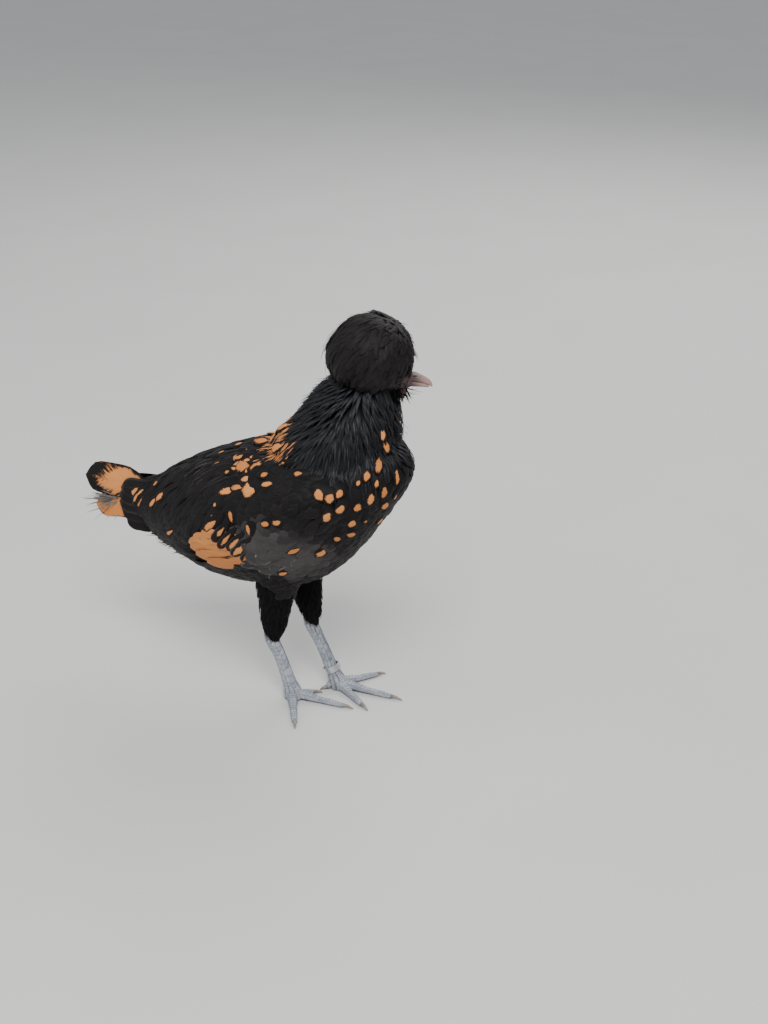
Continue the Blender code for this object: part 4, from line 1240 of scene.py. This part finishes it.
def scale_plumes(draw, spines, facings, widths):
    """Scales as short wide plumes."""
    count = len(spines)
    profile = outline("scale", STATIONS["scale"])
    halves = ragged(widths[:, None] * profile, draw, 0.05)
    marks = {
        "spot": np.full((count, 3), NO_SPOT),
        "shade": np.stack([draw.uniform(0, 1, count), np.zeros(count), np.ones(count)], axis=1),
    }
    return Plumes(spines, facings, halves, marks, skin_patches("thigh", spines[:, 0]))


def grow_scales(draw):
    """Plumes that stand for the scales of both legs."""
    shares = np.array(STATIONS["scale"])
    rise = (0.05 + 0.4 * shares)[None, :, None]
    parts = []
    for name, side in SIDES.items():
        rows = slanted(SHANK, name)
        base = np.array([*ANKLES[name], 0])
        length = 56.0
        for order, (turn, count, reach, half) in enumerate(SHANK_SCALES):
            start = np.linspace(0.9, 0.12, count) + 0.4 / count * (order % 2)
            along = start[:, None] - shares * reach / length
            places, facings = loft_surface(rows, along.ravel(), np.full(along.size, float(turn)), side)
            places = places.reshape(count, -1, 3)
            facings = facings.reshape(count, -1, 3)
            widths = half * draw.uniform(0.92, 1.08, count)
            parts.append(scale_plumes(draw, places + facings * rise + base, facings, widths))
        for number, (turn, _) in TOES[name].items():
            table = smooth_rows(toe_rows(name, number), 60)
            ahead = np.array([math.cos(math.radians(turn)), math.sin(math.radians(turn)), 0])
            across = np.array([-math.sin(math.radians(turn)), math.cos(math.radians(turn)), 0])
            for order, (roll, size) in enumerate(TOE_SCALES):
                step = SCALE_STEP if roll == 90 else SCALE_STEP * 0.75
                count = int((table[-1, 0] - 4) / step)
                start = 3.5 + (np.arange(count) + 0.5 * (order % 2)) * step
                reach = start[:, None] + shares * step * 1.35
                height = np.interp(reach, table[:, 0], table[:, 1])
                radius = np.interp(reach, table[:, 0], table[:, 2])
                angle = math.radians(roll)
                out = across * math.cos(angle) + np.array([0, 0, math.sin(angle)])
                places = reach[..., None] * ahead + out * radius[..., None] + height[..., None] * np.array([0, 0, 1])
                facings = np.tile(out, (count, len(shares), 1))
                places = places + facings * rise * 0.8
                places[..., 2] = np.maximum(places[..., 2], 0.7)
                parts.append(scale_plumes(draw, places + base, facings, radius[:, 0] * size))
    return together(parts)


class Nodes:
    """A short way to add and join shader nodes."""

    def __init__(self, name):
        self.material = bpy.data.materials.new(name)
        self.material.use_nodes = True
        self.tree = self.material.node_tree
        self.shader = self.tree.nodes["Principled BSDF"]

    def feed(self, socket, value):
        """Set a socket's value, or join another node's output to it."""
        if isinstance(value, bpy.types.NodeSocket):
            self.tree.links.new(value, socket)
        elif value is not None:
            socket.default_value = value

    def math(self, operation, first, second=None, third=None, clamp=False):
        """A number worked out from up to three others."""
        node = self.tree.nodes.new("ShaderNodeMath")
        node.operation = operation
        node.use_clamp = clamp
        for socket, value in zip(node.inputs, (first, second, third)):
            self.feed(socket, value)
        return node.outputs[0]

    def ramp(self, value, low, high):
        """Smooth step of a value from 0 at the low one to 1 at the high one."""
        node = self.tree.nodes.new("ShaderNodeMapRange")
        node.interpolation_type = "SMOOTHSTEP"
        self.feed(node.inputs["Value"], value)
        self.feed(node.inputs["From Min"], low)
        self.feed(node.inputs["From Max"], high)
        return node.outputs["Result"]

    def mix(self, share, first, second):
        """Colour between two others."""
        node = self.tree.nodes.new("ShaderNodeMix")
        node.data_type = "RGBA"
        self.feed(node.inputs[0], share)
        self.feed(node.inputs[6], first)
        self.feed(node.inputs[7], second)
        return node.outputs[2]

    def vector(self, x, y, z):
        """Vector from three numbers."""
        node = self.tree.nodes.new("ShaderNodeCombineXYZ")
        for socket, value in zip(node.inputs, (x, y, z)):
            self.feed(socket, value)
        return node.outputs[0]

    def parts(self, vector):
        """Three numbers of a vector."""
        node = self.tree.nodes.new("ShaderNodeSeparateXYZ")
        self.feed(node.inputs[0], vector)
        return node.outputs[0], node.outputs[1], node.outputs[2]

    def attribute(self, name):
        """Three numbers stored on the mesh."""
        node = self.tree.nodes.new("ShaderNodeAttribute")
        node.attribute_name = name
        return self.parts(node.outputs["Vector"])

    def uv(self, name):
        """Place on a map of the mesh."""
        node = self.tree.nodes.new("ShaderNodeUVMap")
        node.uv_map = name
        return self.parts(node.outputs[0])

    def place(self):
        """Place in the frame, in metres."""
        node = self.tree.nodes.new("ShaderNodeTexCoord")
        return node.outputs["Object"]

    def noise(self, vector, scale, detail=2.0, roughness=0.5):
        """Cloudy number from 0 to 1."""
        node = self.tree.nodes.new("ShaderNodeTexNoise")
        self.feed(node.inputs["Vector"], vector)
        node.inputs["Scale"].default_value = scale
        node.inputs["Detail"].default_value = detail
        node.inputs["Roughness"].default_value = roughness
        return node.outputs["Fac"]

    def cells(self, vector, scale, feature="F1"):
        """Distance to the nearest of scattered points."""
        node = self.tree.nodes.new("ShaderNodeTexVoronoi")
        node.feature = feature
        self.feed(node.inputs["Vector"], vector)
        node.inputs["Scale"].default_value = scale
        return node.outputs["Distance"]

    def bump(self, height, strength, distance):
        """Bend the shading by a height."""
        node = self.tree.nodes.new("ShaderNodeBump")
        node.inputs["Strength"].default_value = strength
        node.inputs["Distance"].default_value = distance
        self.feed(node.inputs["Height"], height)
        self.tree.links.new(node.outputs[0], self.shader.inputs["Normal"])

    def finish(self, **values):
        """Set the shader's own sockets, whose names have spaces for underscores."""
        for name, value in values.items():
            self.feed(self.shader.inputs[name.replace("_", " ")], value)
        return self.material


ORANGE_DEEP = (0.42, 0.13, 0.03, 1)
ORANGE_LIGHT = (0.80, 0.34, 0.11, 1)
SMOKE = (0.064, 0.057, 0.058, 1)
PALE = (0.30, 0.26, 0.23, 1)


def feather_material(name, dark, light, roughness=0.55, gloss=0.12):
    """Feathers with barbs, spots, pale shafts (on the neck partly painted glints) and pale edges."""
    nodes = Nodes(name)
    u, v, _ = nodes.uv("Feather")
    off = nodes.math("ABSOLUTE", nodes.math("MULTIPLY_ADD", u, 2.0, -1.0))
    wide, long, along = nodes.attribute("spot")
    tone, streak, pale = nodes.attribute("shade")
    barb = nodes.math("MULTIPLY_ADD", off, -0.3, v)
    grain_place = nodes.vector(
        nodes.math("MULTIPLY", barb, 34.0), nodes.math("MULTIPLY", off, 1.6), nodes.math("MULTIPLY", tone, 40.0)
    )
    grain = nodes.noise(grain_place, 1.0, 3.0, 0.6)
    body = nodes.mix(nodes.math("MULTIPLY_ADD", grain, 0.9, nodes.math("MULTIPLY", tone, 0.5), clamp=True), dark, light)
    body = nodes.mix(nodes.math("SUBTRACT", 1.0, nodes.ramp(off, 0.02, 0.1)), body, light)
    smoky = nodes.math("MULTIPLY", nodes.math("SUBTRACT", tone, 1.0, clamp=True), nodes.math("MULTIPLY_ADD", grain, 0.8, 0.55))
    body = nodes.mix(smoky, body, SMOKE)
    lump = nodes.noise(nodes.vector(nodes.math("MULTIPLY", u, 2.2), nodes.math("MULTIPLY", v, 4.0), nodes.math("MULTIPLY", tone, 90.0)), 1.0, 2.0, 0.5)
    taper = nodes.math("DIVIDE", nodes.math("SUBTRACT", v, along), long)
    taper = nodes.math("MULTIPLY_ADD", taper, 0.3, 0.9)
    across = nodes.math("POWER", nodes.math("DIVIDE", off, nodes.math("MULTIPLY", wide, taper)), 2.0)
    down = nodes.math("POWER", nodes.math("DIVIDE", nodes.math("SUBTRACT", v, along), long), 2.0)
    away = nodes.math("SQRT", nodes.math("ADD", across, down))
    away = nodes.math("ADD", away, nodes.math("MULTIPLY_ADD", grain, 1.2, -0.6))
    away = nodes.math("ADD", away, nodes.math("MULTIPLY_ADD", lump, 1.1, -0.55))
    spot = nodes.math("SUBTRACT", 1.0, nodes.ramp(away, 0.86, 1.1))
    orange = nodes.mix(nodes.math("MULTIPLY_ADD", grain, 0.6, nodes.math("MULTIPLY", tone, 0.4)), ORANGE_DEEP, ORANGE_LIGHT)
    colour = nodes.mix(spot, body, orange)
    # Pale shaft streaks, which on the neck partly stand for painted glints.
    shaft = nodes.math("SUBTRACT", 1.0, nodes.ramp(off, 0.05, 0.16))
    shaft = nodes.math("MULTIPLY", nodes.math("MULTIPLY", shaft, streak), nodes.ramp(v, 0.35, 0.6))
    colour = nodes.mix(shaft, colour, PALE)
    end = nodes.math("MULTIPLY", nodes.math("SUBTRACT", v, 0.78), 4.5)
    rim = nodes.ramp(nodes.math("MAXIMUM", off, end), 0.7, 0.95)
    rim = nodes.math("MULTIPLY", nodes.math("MULTIPLY", rim, pale), nodes.ramp(v, 0.3, 0.7))
    colour = nodes.mix(rim, colour, PALE)
    nodes.bump(grain, 0.4, 0.0004)
    return nodes.finish(Base_Color=colour, Roughness=roughness, Specular_IOR_Level=gloss)


def scale_material(name, dark, light):
    """Dusty slate scales with dark joints."""
    nodes = Nodes(name)
    u, v, _ = nodes.uv("Feather")
    off = nodes.math("ABSOLUTE", nodes.math("MULTIPLY_ADD", u, 2.0, -1.0))
    tone, _, _ = nodes.attribute("shade")
    dust = nodes.noise(nodes.place(), 700.0, 4.0, 0.65)
    cloud = nodes.noise(nodes.place(), 90.0, 3.0, 0.6)
    edge = nodes.ramp(nodes.math("MAXIMUM", off, v), 0.72, 1.0)
    share = nodes.math("ADD", nodes.math("MULTIPLY", dust, 0.6), nodes.math("MULTIPLY", tone, 0.3))
    share = nodes.math("ADD", share, nodes.math("MULTIPLY_ADD", cloud, 0.8, -0.35), clamp=True)
    share = nodes.math("SUBTRACT", share, nodes.math("MULTIPLY", edge, 0.4), clamp=True)
    nodes.bump(dust, 0.5, 0.0002)
    return nodes.finish(Base_Color=nodes.mix(share, dark, light), Roughness=0.7, Specular_IOR_Level=0.3)


def plain_material(name, first, second, scale, roughness, bump_size=0.0003, **more):
    """Skin, horn or metal with clouded colour and fine bumps."""
    nodes = Nodes(name)
    cloud = nodes.noise(nodes.place(), scale, 4.0, 0.6)
    fine = nodes.noise(nodes.place(), scale * 6, 3.0, 0.6)
    nodes.bump(fine, 0.4, bump_size)
    return nodes.finish(Base_Color=nodes.mix(nodes.ramp(cloud, 0.35, 0.65), first, second), Roughness=roughness, **more)


def skin_material():
    """Skin under the plumage, with the same markings."""
    nodes = Nodes("skin")
    orange, smoke, _ = nodes.attribute("shade")
    cloud = nodes.noise(nodes.place(), 300.0, 4.0, 0.6)
    colour = nodes.mix(cloud, (0.002, 0.0018, 0.002, 1), (0.009, 0.008, 0.0085, 1))
    colour = nodes.mix(nodes.math("MULTIPLY", smoke, 0.8), colour, SMOKE)
    share = nodes.math("MULTIPLY", nodes.math("ADD", cloud, 0.4), nodes.ramp(orange, 0.3, 0.8), clamp=True)
    colour = nodes.mix(share, colour, ORANGE_DEEP)
    nodes.bump(cloud, 0.4, 0.0004)
    return nodes.finish(Base_Color=colour, Roughness=0.8, Specular_IOR_Level=0.1)


def beak_material():
    """Fleshy horn, dusky at its root and along the ridge, with painted shade in the nostrils."""
    nodes = Nodes("beak_horn")
    along, nostril_shade, level = nodes.attribute("shade")
    cloud = nodes.noise(nodes.place(), 260.0, 4.0, 0.6)
    fine = nodes.noise(nodes.place(), 1400.0, 3.0, 0.6)
    share = nodes.math("ADD", nodes.ramp(along, 0.3, 0.85), nodes.math("MULTIPLY_ADD", cloud, 0.8, -0.4), clamp=True)
    colour = nodes.mix(share, (0.07, 0.038, 0.036, 1), (0.34, 0.22, 0.19, 1))
    ridge = nodes.math("MULTIPLY", nodes.ramp(level, 0.3, 0.9), nodes.math("SUBTRACT", 0.8, along), clamp=True)
    colour = nodes.mix(ridge, colour, (0.05, 0.03, 0.03, 1))
    # Painted shade darkens the nostril hollows.
    colour = nodes.mix(nostril_shade, colour, (0.012, 0.006, 0.006, 1))
    nodes.bump(fine, 0.35, 0.0002)
    return nodes.finish(Base_Color=colour, Roughness=0.45)


def eye_material():
    """Orange iris with fine rays round a black pupil, in a dark rim."""
    nodes = Nodes("eye")
    away, _, _ = nodes.attribute("shade")
    rays = nodes.noise(nodes.place(), 2500.0, 3.0, 0.7)
    iris = nodes.mix(rays, (0.40, 0.10, 0.02, 1), (0.75, 0.28, 0.06, 1))
    colour = nodes.mix(nodes.ramp(away, 0.26, 0.30), (0.002, 0.002, 0.002, 1), iris)
    colour = nodes.mix(nodes.ramp(away, 0.58, 0.68), colour, (0.01, 0.006, 0.005, 1))
    return nodes.finish(Base_Color=colour, Roughness=0.05, Coat_Weight=1.0, Coat_Roughness=0.03)


def make_plumage(materials, draw):
    """Make the skin's coats and the longer feathers."""
    forms = flesh_forms()
    guide = Guide(remeshed("guide", forms, GUIDE_VOXEL, 8), forms)
    for label, (plumes, shares, columns, cup) in grow_coats(guide, draw).items():
        material = materials.get(label, materials["body"])
        left = plumes.spines[:, 0, 1] > 0
        halves = {"_left": left, "_right": ~left} if label in ("torso", "neck") else {"": left | ~left}
        for ending, chosen in halves.items():
            name = "coat_" + label + ending
            mesh = feather_mesh(name, picked(plumes, chosen), shares, columns, cup, 0.12)
            new_object(name, mesh, material=material)
    mesh = feather_mesh("coat_spangles", grow_spangles(guide, draw), np.array(STATIONS["round"]), 5, 0.2, 0.14)
    new_object("coat_spangles", mesh, material=materials["body"])
    for part, plumes in grow_fluff(guide, draw).items():
        mesh = feather_mesh("fluff_" + part, plumes, np.array(STATIONS["lance"]), 3, 0.2, 0.1)
        new_object("fluff_" + part, mesh, material=materials[FLUFF_LOOKS[part]])
    shares = np.array(STATIONS["broad"])
    crest = grow_crest(draw)
    left = crest.spines[:, -1, 1] > HEAD_PLACE[1]
    for name, chosen, nodes in (("crest_coat_left", left, ("crest",)), ("crest_coat_right", ~left, ())):
        mesh = feather_mesh(name, picked(crest, chosen), shares, 5, 0.25, 0.12)
        new_object(name, mesh, nodes, materials["crest"])
    mesh = feather_mesh("crest_wisps", grow_wisps(draw), np.array(STATIONS["lance"]), 3, 0.2, 0.1)
    new_object("crest_wisps", mesh, material=materials["crest"])
    mesh = feather_mesh("leg_scales", grow_scales(draw), np.array(STATIONS["scale"]), 5, 0.3, 0.12)
    new_object("leg_scales", mesh, material=materials["scales"])
    wings = grow_wings(draw)
    mesh = feather_mesh("wing_coat", wings, shares, 5, 0.13, 0.2)
    new_object("wing_coat", mesh, ("wing_left", "wing_right"), materials["body"])
    tail = grow_tail(draw)
    mesh = feather_mesh("tail_coat", tail, shares, 5, 0.13, 0.2)
    new_object("tail_coat", mesh, ("tail",), materials["body"])
    return forms


def mark_skin(mesh):
    """Store how orange and how smoky the plumage is over each point of the skin."""
    points = np.empty(len(mesh.vertices) * 3, np.float32)
    mesh.vertices.foreach_get("co", points)
    places = (points.reshape(-1, 3) - np.array(SHIFT)) / MM
    wing = inside(places, BARE_WING) & (np.abs(places[:, 1]) > BARE_WING_SIDE)
    at_x, at_z, half_x, half_z, share = SPOT_AREAS[0][:5]
    away = ((places[:, 0] - at_x) / half_x) ** 2 + ((places[:, 2] - at_z) / half_z) ** 2
    orange = np.maximum(wing, 0.6 * share * (away < 1))
    store(mesh, "shade", np.stack([orange, smoke_share(places), np.zeros(len(places))], axis=1))


def make_skin(forms, materials):
    """Make the one skin under the coats, with the finer face and feet joined to it."""
    pieces = []
    for name, mesh in (
        ("skin", remeshed("skin", forms, SKIN_VOXEL, 6)),
        ("face", remeshed("face", face_forms(), HEAD_VOXEL, 3)),
        ("legs", remeshed("legs", leg_forms(), LEG_VOXEL, 3)),
    ):
        mesh.materials.clear()
        mesh.materials.append(materials[name])
        mesh.shade_smooth()
        if name == "skin":
            mark_skin(mesh)
        piece = bpy.data.objects.new(name, mesh)
        bpy.context.scene.collection.objects.link(piece)
        pieces.append(piece)
    skin = pieces[0]
    with bpy.context.temp_override(active_object=skin, selected_editable_objects=pieces):
        bpy.ops.object.join()
    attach(skin, "root")
    nodes = ["torso", "rump", "neck", "head"]
    for name in SIDES:
        nodes += ["thigh_" + name, "shank_" + name]
        nodes += ["toe_%s_%d" % (name, number) for number in TOES[name]]
    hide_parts(*nodes)


def beak_mesh(name, rows, rings, count):
    """A beak half with its place along the head stored on it, and nostrils with painted shade in them on the upper one.
    """
    forms = [loft("beak", rows, rings, count)]
    form = forms[0]
    points = form.points
    nostril_shade = np.zeros(len(points))
    if name == "bill_upper":
        x, y, z = NOSTRIL_PLACE
        for side in SIDES.values():
            away = (points - np.array([x, side * y, z])) / np.array(NOSTRIL_HUMP)
            near = np.exp(-(away ** 2).sum(axis=1))
            points = points + near[:, None] * np.array([0, side * 0.9, 0.5])
            away = (points - np.array([x + 0.6, side * (y + 0.9), z])) / np.array([1.5, 2.0, 0.55])
            hole = np.exp(-(away ** 2).sum(axis=1) ** 2)
            points = points - hole[:, None] * np.array([0, side * 0.9, 0])
            # How deep each nostril is carved is stored so the finish can paint shade into the hollow.
            nostril_shade = np.maximum(nostril_shade, hole)
    mesh = form_mesh(name, [on_head(Form("beak", points, form.faces))])
    start = min(row[0] for row in rows)
    end = max(row[0] for row in rows)
    along = (points[:, 0] - start) / (end - start)
    store(mesh, "shade", np.stack([along, nostril_shade, points[:, 2] / 5], axis=1))
    mesh.shade_smooth()
    return mesh


def store(mesh, name, values):
    """Store three numbers for every point of a mesh."""
    layer = mesh.attributes.new(name, "FLOAT_VECTOR", "POINT")
    layer.data.foreach_set("vector", np.asarray(values, dtype=np.float32).ravel())


def eye_mesh():
    """Both eyeballs, with each point's distance from the middle of the iris stored on it."""
    forms = []
    away = []
    for side in SIDES.values():
        x, y, z = EYE_PLACE
        form = ball("eye", (0, 0, 0), (EYE_RADIUS,) * 3, 64, 40)
        points = form.points[:, [0, 2, 1]] * np.array([1, side, 1])
        away.append(np.hypot(points[:, 0], points[:, 2]) / EYE_RADIUS + (points[:, 1] * side < 0))
        forms.append(on_head(Form("eye", points + np.array([x, side * y, z]), form.faces)))
    mesh = form_mesh("eyes", forms)
    away = np.concatenate(away)
    store(mesh, "shade", np.stack([away, away, away], axis=1))
    mesh.shade_smooth()
    return mesh


def ring_form():
    """The thin band round the left shank."""
    outer = RING_RADIUS
    inner = RING_RADIUS - RING_WALL
    half = RING_BAND / 2
    count = 64
    angles = np.linspace(0, 2 * np.pi, count, endpoint=False)
    round_ring = np.stack([np.cos(angles), np.sin(angles)], axis=1)
    levels = ((outer, -half), (outer, half), (inner, half), (inner, -half))
    points = [np.column_stack([round_ring * reach, np.full(count, level)]) for reach, level in levels]
    faces = []
    for ring in range(len(levels)):
        after = (ring + 1) % len(levels)
        for step in range(count):
            beside = (step + 1) % count
            faces.append((ring * count + step, ring * count + beside, after * count + beside, after * count + step))
    lean = Matrix.Translation(RING_PLACE) @ Matrix.Rotation(math.radians(-SHANK_LEAN), 4, "Y")
    return on_leg(Form("ring", moved(np.concatenate(points), lean), faces), "left")


def make_head(materials):
    """Make the beak, eyes, comb, wattles, lobes, claws and ring."""
    for name, rows, node in (("bill_upper", UPPER_BEAK, "beak_upper"), ("bill_lower", LOWER_BEAK, "beak_lower")):
        new_object(name, beak_mesh(name, rows, 120, 96), (node,), materials["beak"])
    new_object("eyes", eye_mesh(), ("eye_left", "eye_right"), materials["eye"])
    comb = [ball("comb", COMB_PLACE, COMB_HALF)]
    wattles = []
    lobes = []
    for side in SIDES.values():
        comb.append(loft("comb", COMB_HORN, 14, 20, side=side))
        for parts, (x, y, z), half in ((wattles, WATTLE_PLACE, WATTLE_HALF), (lobes, LOBE_PLACE, LOBE_HALF)):
            parts.append(on_head(ball("skin", (x, side * y, z), half)))
    claws = []
    for name in SIDES:
        for number, (turn, _) in TOES[name].items():
            claws.append(on_leg(toe_form("claw", turn, claw_rows(name, number), 24, 16), name))
    claw_nodes = ["claw_%s_%d" % (name, number) for name in SIDES for number in TOES[name]]
    for name, mesh, slot, nodes, material in (
        ("comb_fine", remeshed("comb", [on_head(form) for form in comb], 0.3, 3), "bare_skin", ("comb",), "red"),
        ("wattles_fine", form_mesh("wattles", wattles), "bare_skin", ("wattle_left", "wattle_right"), "red"),
        ("lobes_fine", form_mesh("lobes", lobes), "pale_skin", ("earlobe_left", "earlobe_right"), "lobe"),
        ("claws_fine", form_mesh("claws", claws), "claw_horn", claw_nodes, "claw"),
        ("ring_fine", form_mesh("ring", [ring_form()]), "ring_metal", ("leg_ring",), "metal"),
    ):
        mesh.materials.clear()
        mesh.shade_smooth()
        if name == "ring_fine":
            mesh.set_sharp_from_angle(angle=math.radians(50))
        new_object(name, mesh, nodes, materials[material])


def make_materials():
    """Every finish by name."""
    return {
        "body": feather_material("body_feather", (0.0016, 0.0015, 0.0018, 1), (0.011, 0.0095, 0.010, 1)),
        # The blue tint in the neck's dark and light colours is a painted sheen, not the feathers' own colour.
        "neck": feather_material("neck_feather", (0.0014, 0.0015, 0.0021, 1), (0.0075, 0.0085, 0.012, 1), 0.4, 0.2),
        "thigh": feather_material("thigh_feather", (0.0016, 0.0015, 0.0018, 1), (0.007, 0.0062, 0.0065, 1), 0.65, 0.06),
        "down": feather_material("down", (0.06, 0.054, 0.05, 1), (0.26, 0.23, 0.21, 1), 0.8, 0.1),
        "crest": feather_material("crest_feather", (0.0022, 0.0019, 0.0021, 1), (0.015, 0.0125, 0.013, 1), 0.55, 0.14),
        "skin": skin_material(),
        "face": plain_material("face_skin", (0.085, 0.04, 0.042, 1), (0.03, 0.018, 0.022, 1), 260, 0.55),
        "legs": plain_material("leg_skin", (0.10, 0.11, 0.13, 1), (0.20, 0.21, 0.23, 1), 300, 0.7),
        "scales": scale_material("leg_scale", (0.16, 0.18, 0.22, 1), (0.52, 0.54, 0.57, 1)),
        "beak": beak_material(),
        "red": plain_material("red_skin", (0.085, 0.03, 0.034, 1), (0.035, 0.014, 0.018, 1), 400, 0.5),
        "lobe": plain_material("lobe_skin", (0.42, 0.40, 0.39, 1), (0.28, 0.25, 0.26, 1), 400, 0.55),
        "eye": eye_material(),
        "claw": plain_material("claw_horn", (0.30, 0.27, 0.24, 1), (0.16, 0.14, 0.13, 1), 300, 0.45),
        "metal": plain_material("ring_metal", (0.70, 0.71, 0.73, 1), (0.60, 0.61, 0.63, 1), 300, 0.35, Metallic=1.0),
    }


def make_stage():
    """Make the pale floor, the lights and the camera."""
    floor_mesh = bpy.data.meshes.new("floor")
    size = 9.0
    floor_mesh.from_pydata([(-size, -size, 0), (size, -size, 0), (size, size, 0), (-size, size, 0)], [], [(0, 1, 2, 3)])
    nodes = Nodes("floor")
    grain = nodes.noise(nodes.place(), 6.0, 4.0)
    floor_mesh.materials.append(nodes.finish(Base_Color=nodes.mix(grain, (0.60, 0.59, 0.57, 1), (0.66, 0.65, 0.63, 1)), Roughness=0.85))
    floor = bpy.data.objects.new("floor", floor_mesh)
    bpy.context.scene.collection.objects.link(floor)
    middle = Vector((-0.03, 0, 0.16)) + SHIFT
    for name, place, size, power in (
        ("key", (0.6, -1.1, 1.8), 1.0, 40),
        ("fill", (-1.6, -0.9, 1.0), 1.6, 9),
        ("back", (0.1, 1.5, 1.5), 1.4, 22),
    ):
        data = bpy.data.lights.new(name, "AREA")
        data.size = size
        data.energy = power
        lamp = bpy.data.objects.new(name, data)
        lamp.location = place
        lamp.rotation_euler = (middle - Vector(place)).to_track_quat("-Z", "Y").to_euler()
        bpy.context.scene.collection.objects.link(lamp)
    world = bpy.data.worlds.new("studio")
    world.use_nodes = True
    world.node_tree.nodes["Background"].inputs["Color"].default_value = (0.92, 0.95, 1.0, 1)
    world.node_tree.nodes["Background"].inputs["Strength"].default_value = 0.55
    bpy.context.scene.world = world
    data = bpy.data.cameras.new("camera")
    data.lens = CAMERA_LENS
    data.sensor_fit = "VERTICAL"
    data.sensor_height = CAMERA_SENSOR
    data.clip_start = 0.02
    camera = bpy.data.objects.new("camera", data)
    camera.location = Vector(CAMERA_PLACE) + SHIFT
    pitch = math.radians(CAMERA_PITCH)
    across, along = CAMERA_HEADING
    look = Vector((across * math.cos(pitch), along * math.cos(pitch), -math.sin(pitch)))
    camera.rotation_euler = look.to_track_quat("-Z", "Y").to_euler()
    bpy.context.scene.collection.objects.link(camera)
    bpy.context.scene.camera = camera


def main():
    """Dress the hen."""
    draw = np.random.default_rng(SEED)
    materials = make_materials()
    make_stage()
    forms = make_plumage(materials, draw)
    make_skin(forms, materials)
    make_head(materials)


main()
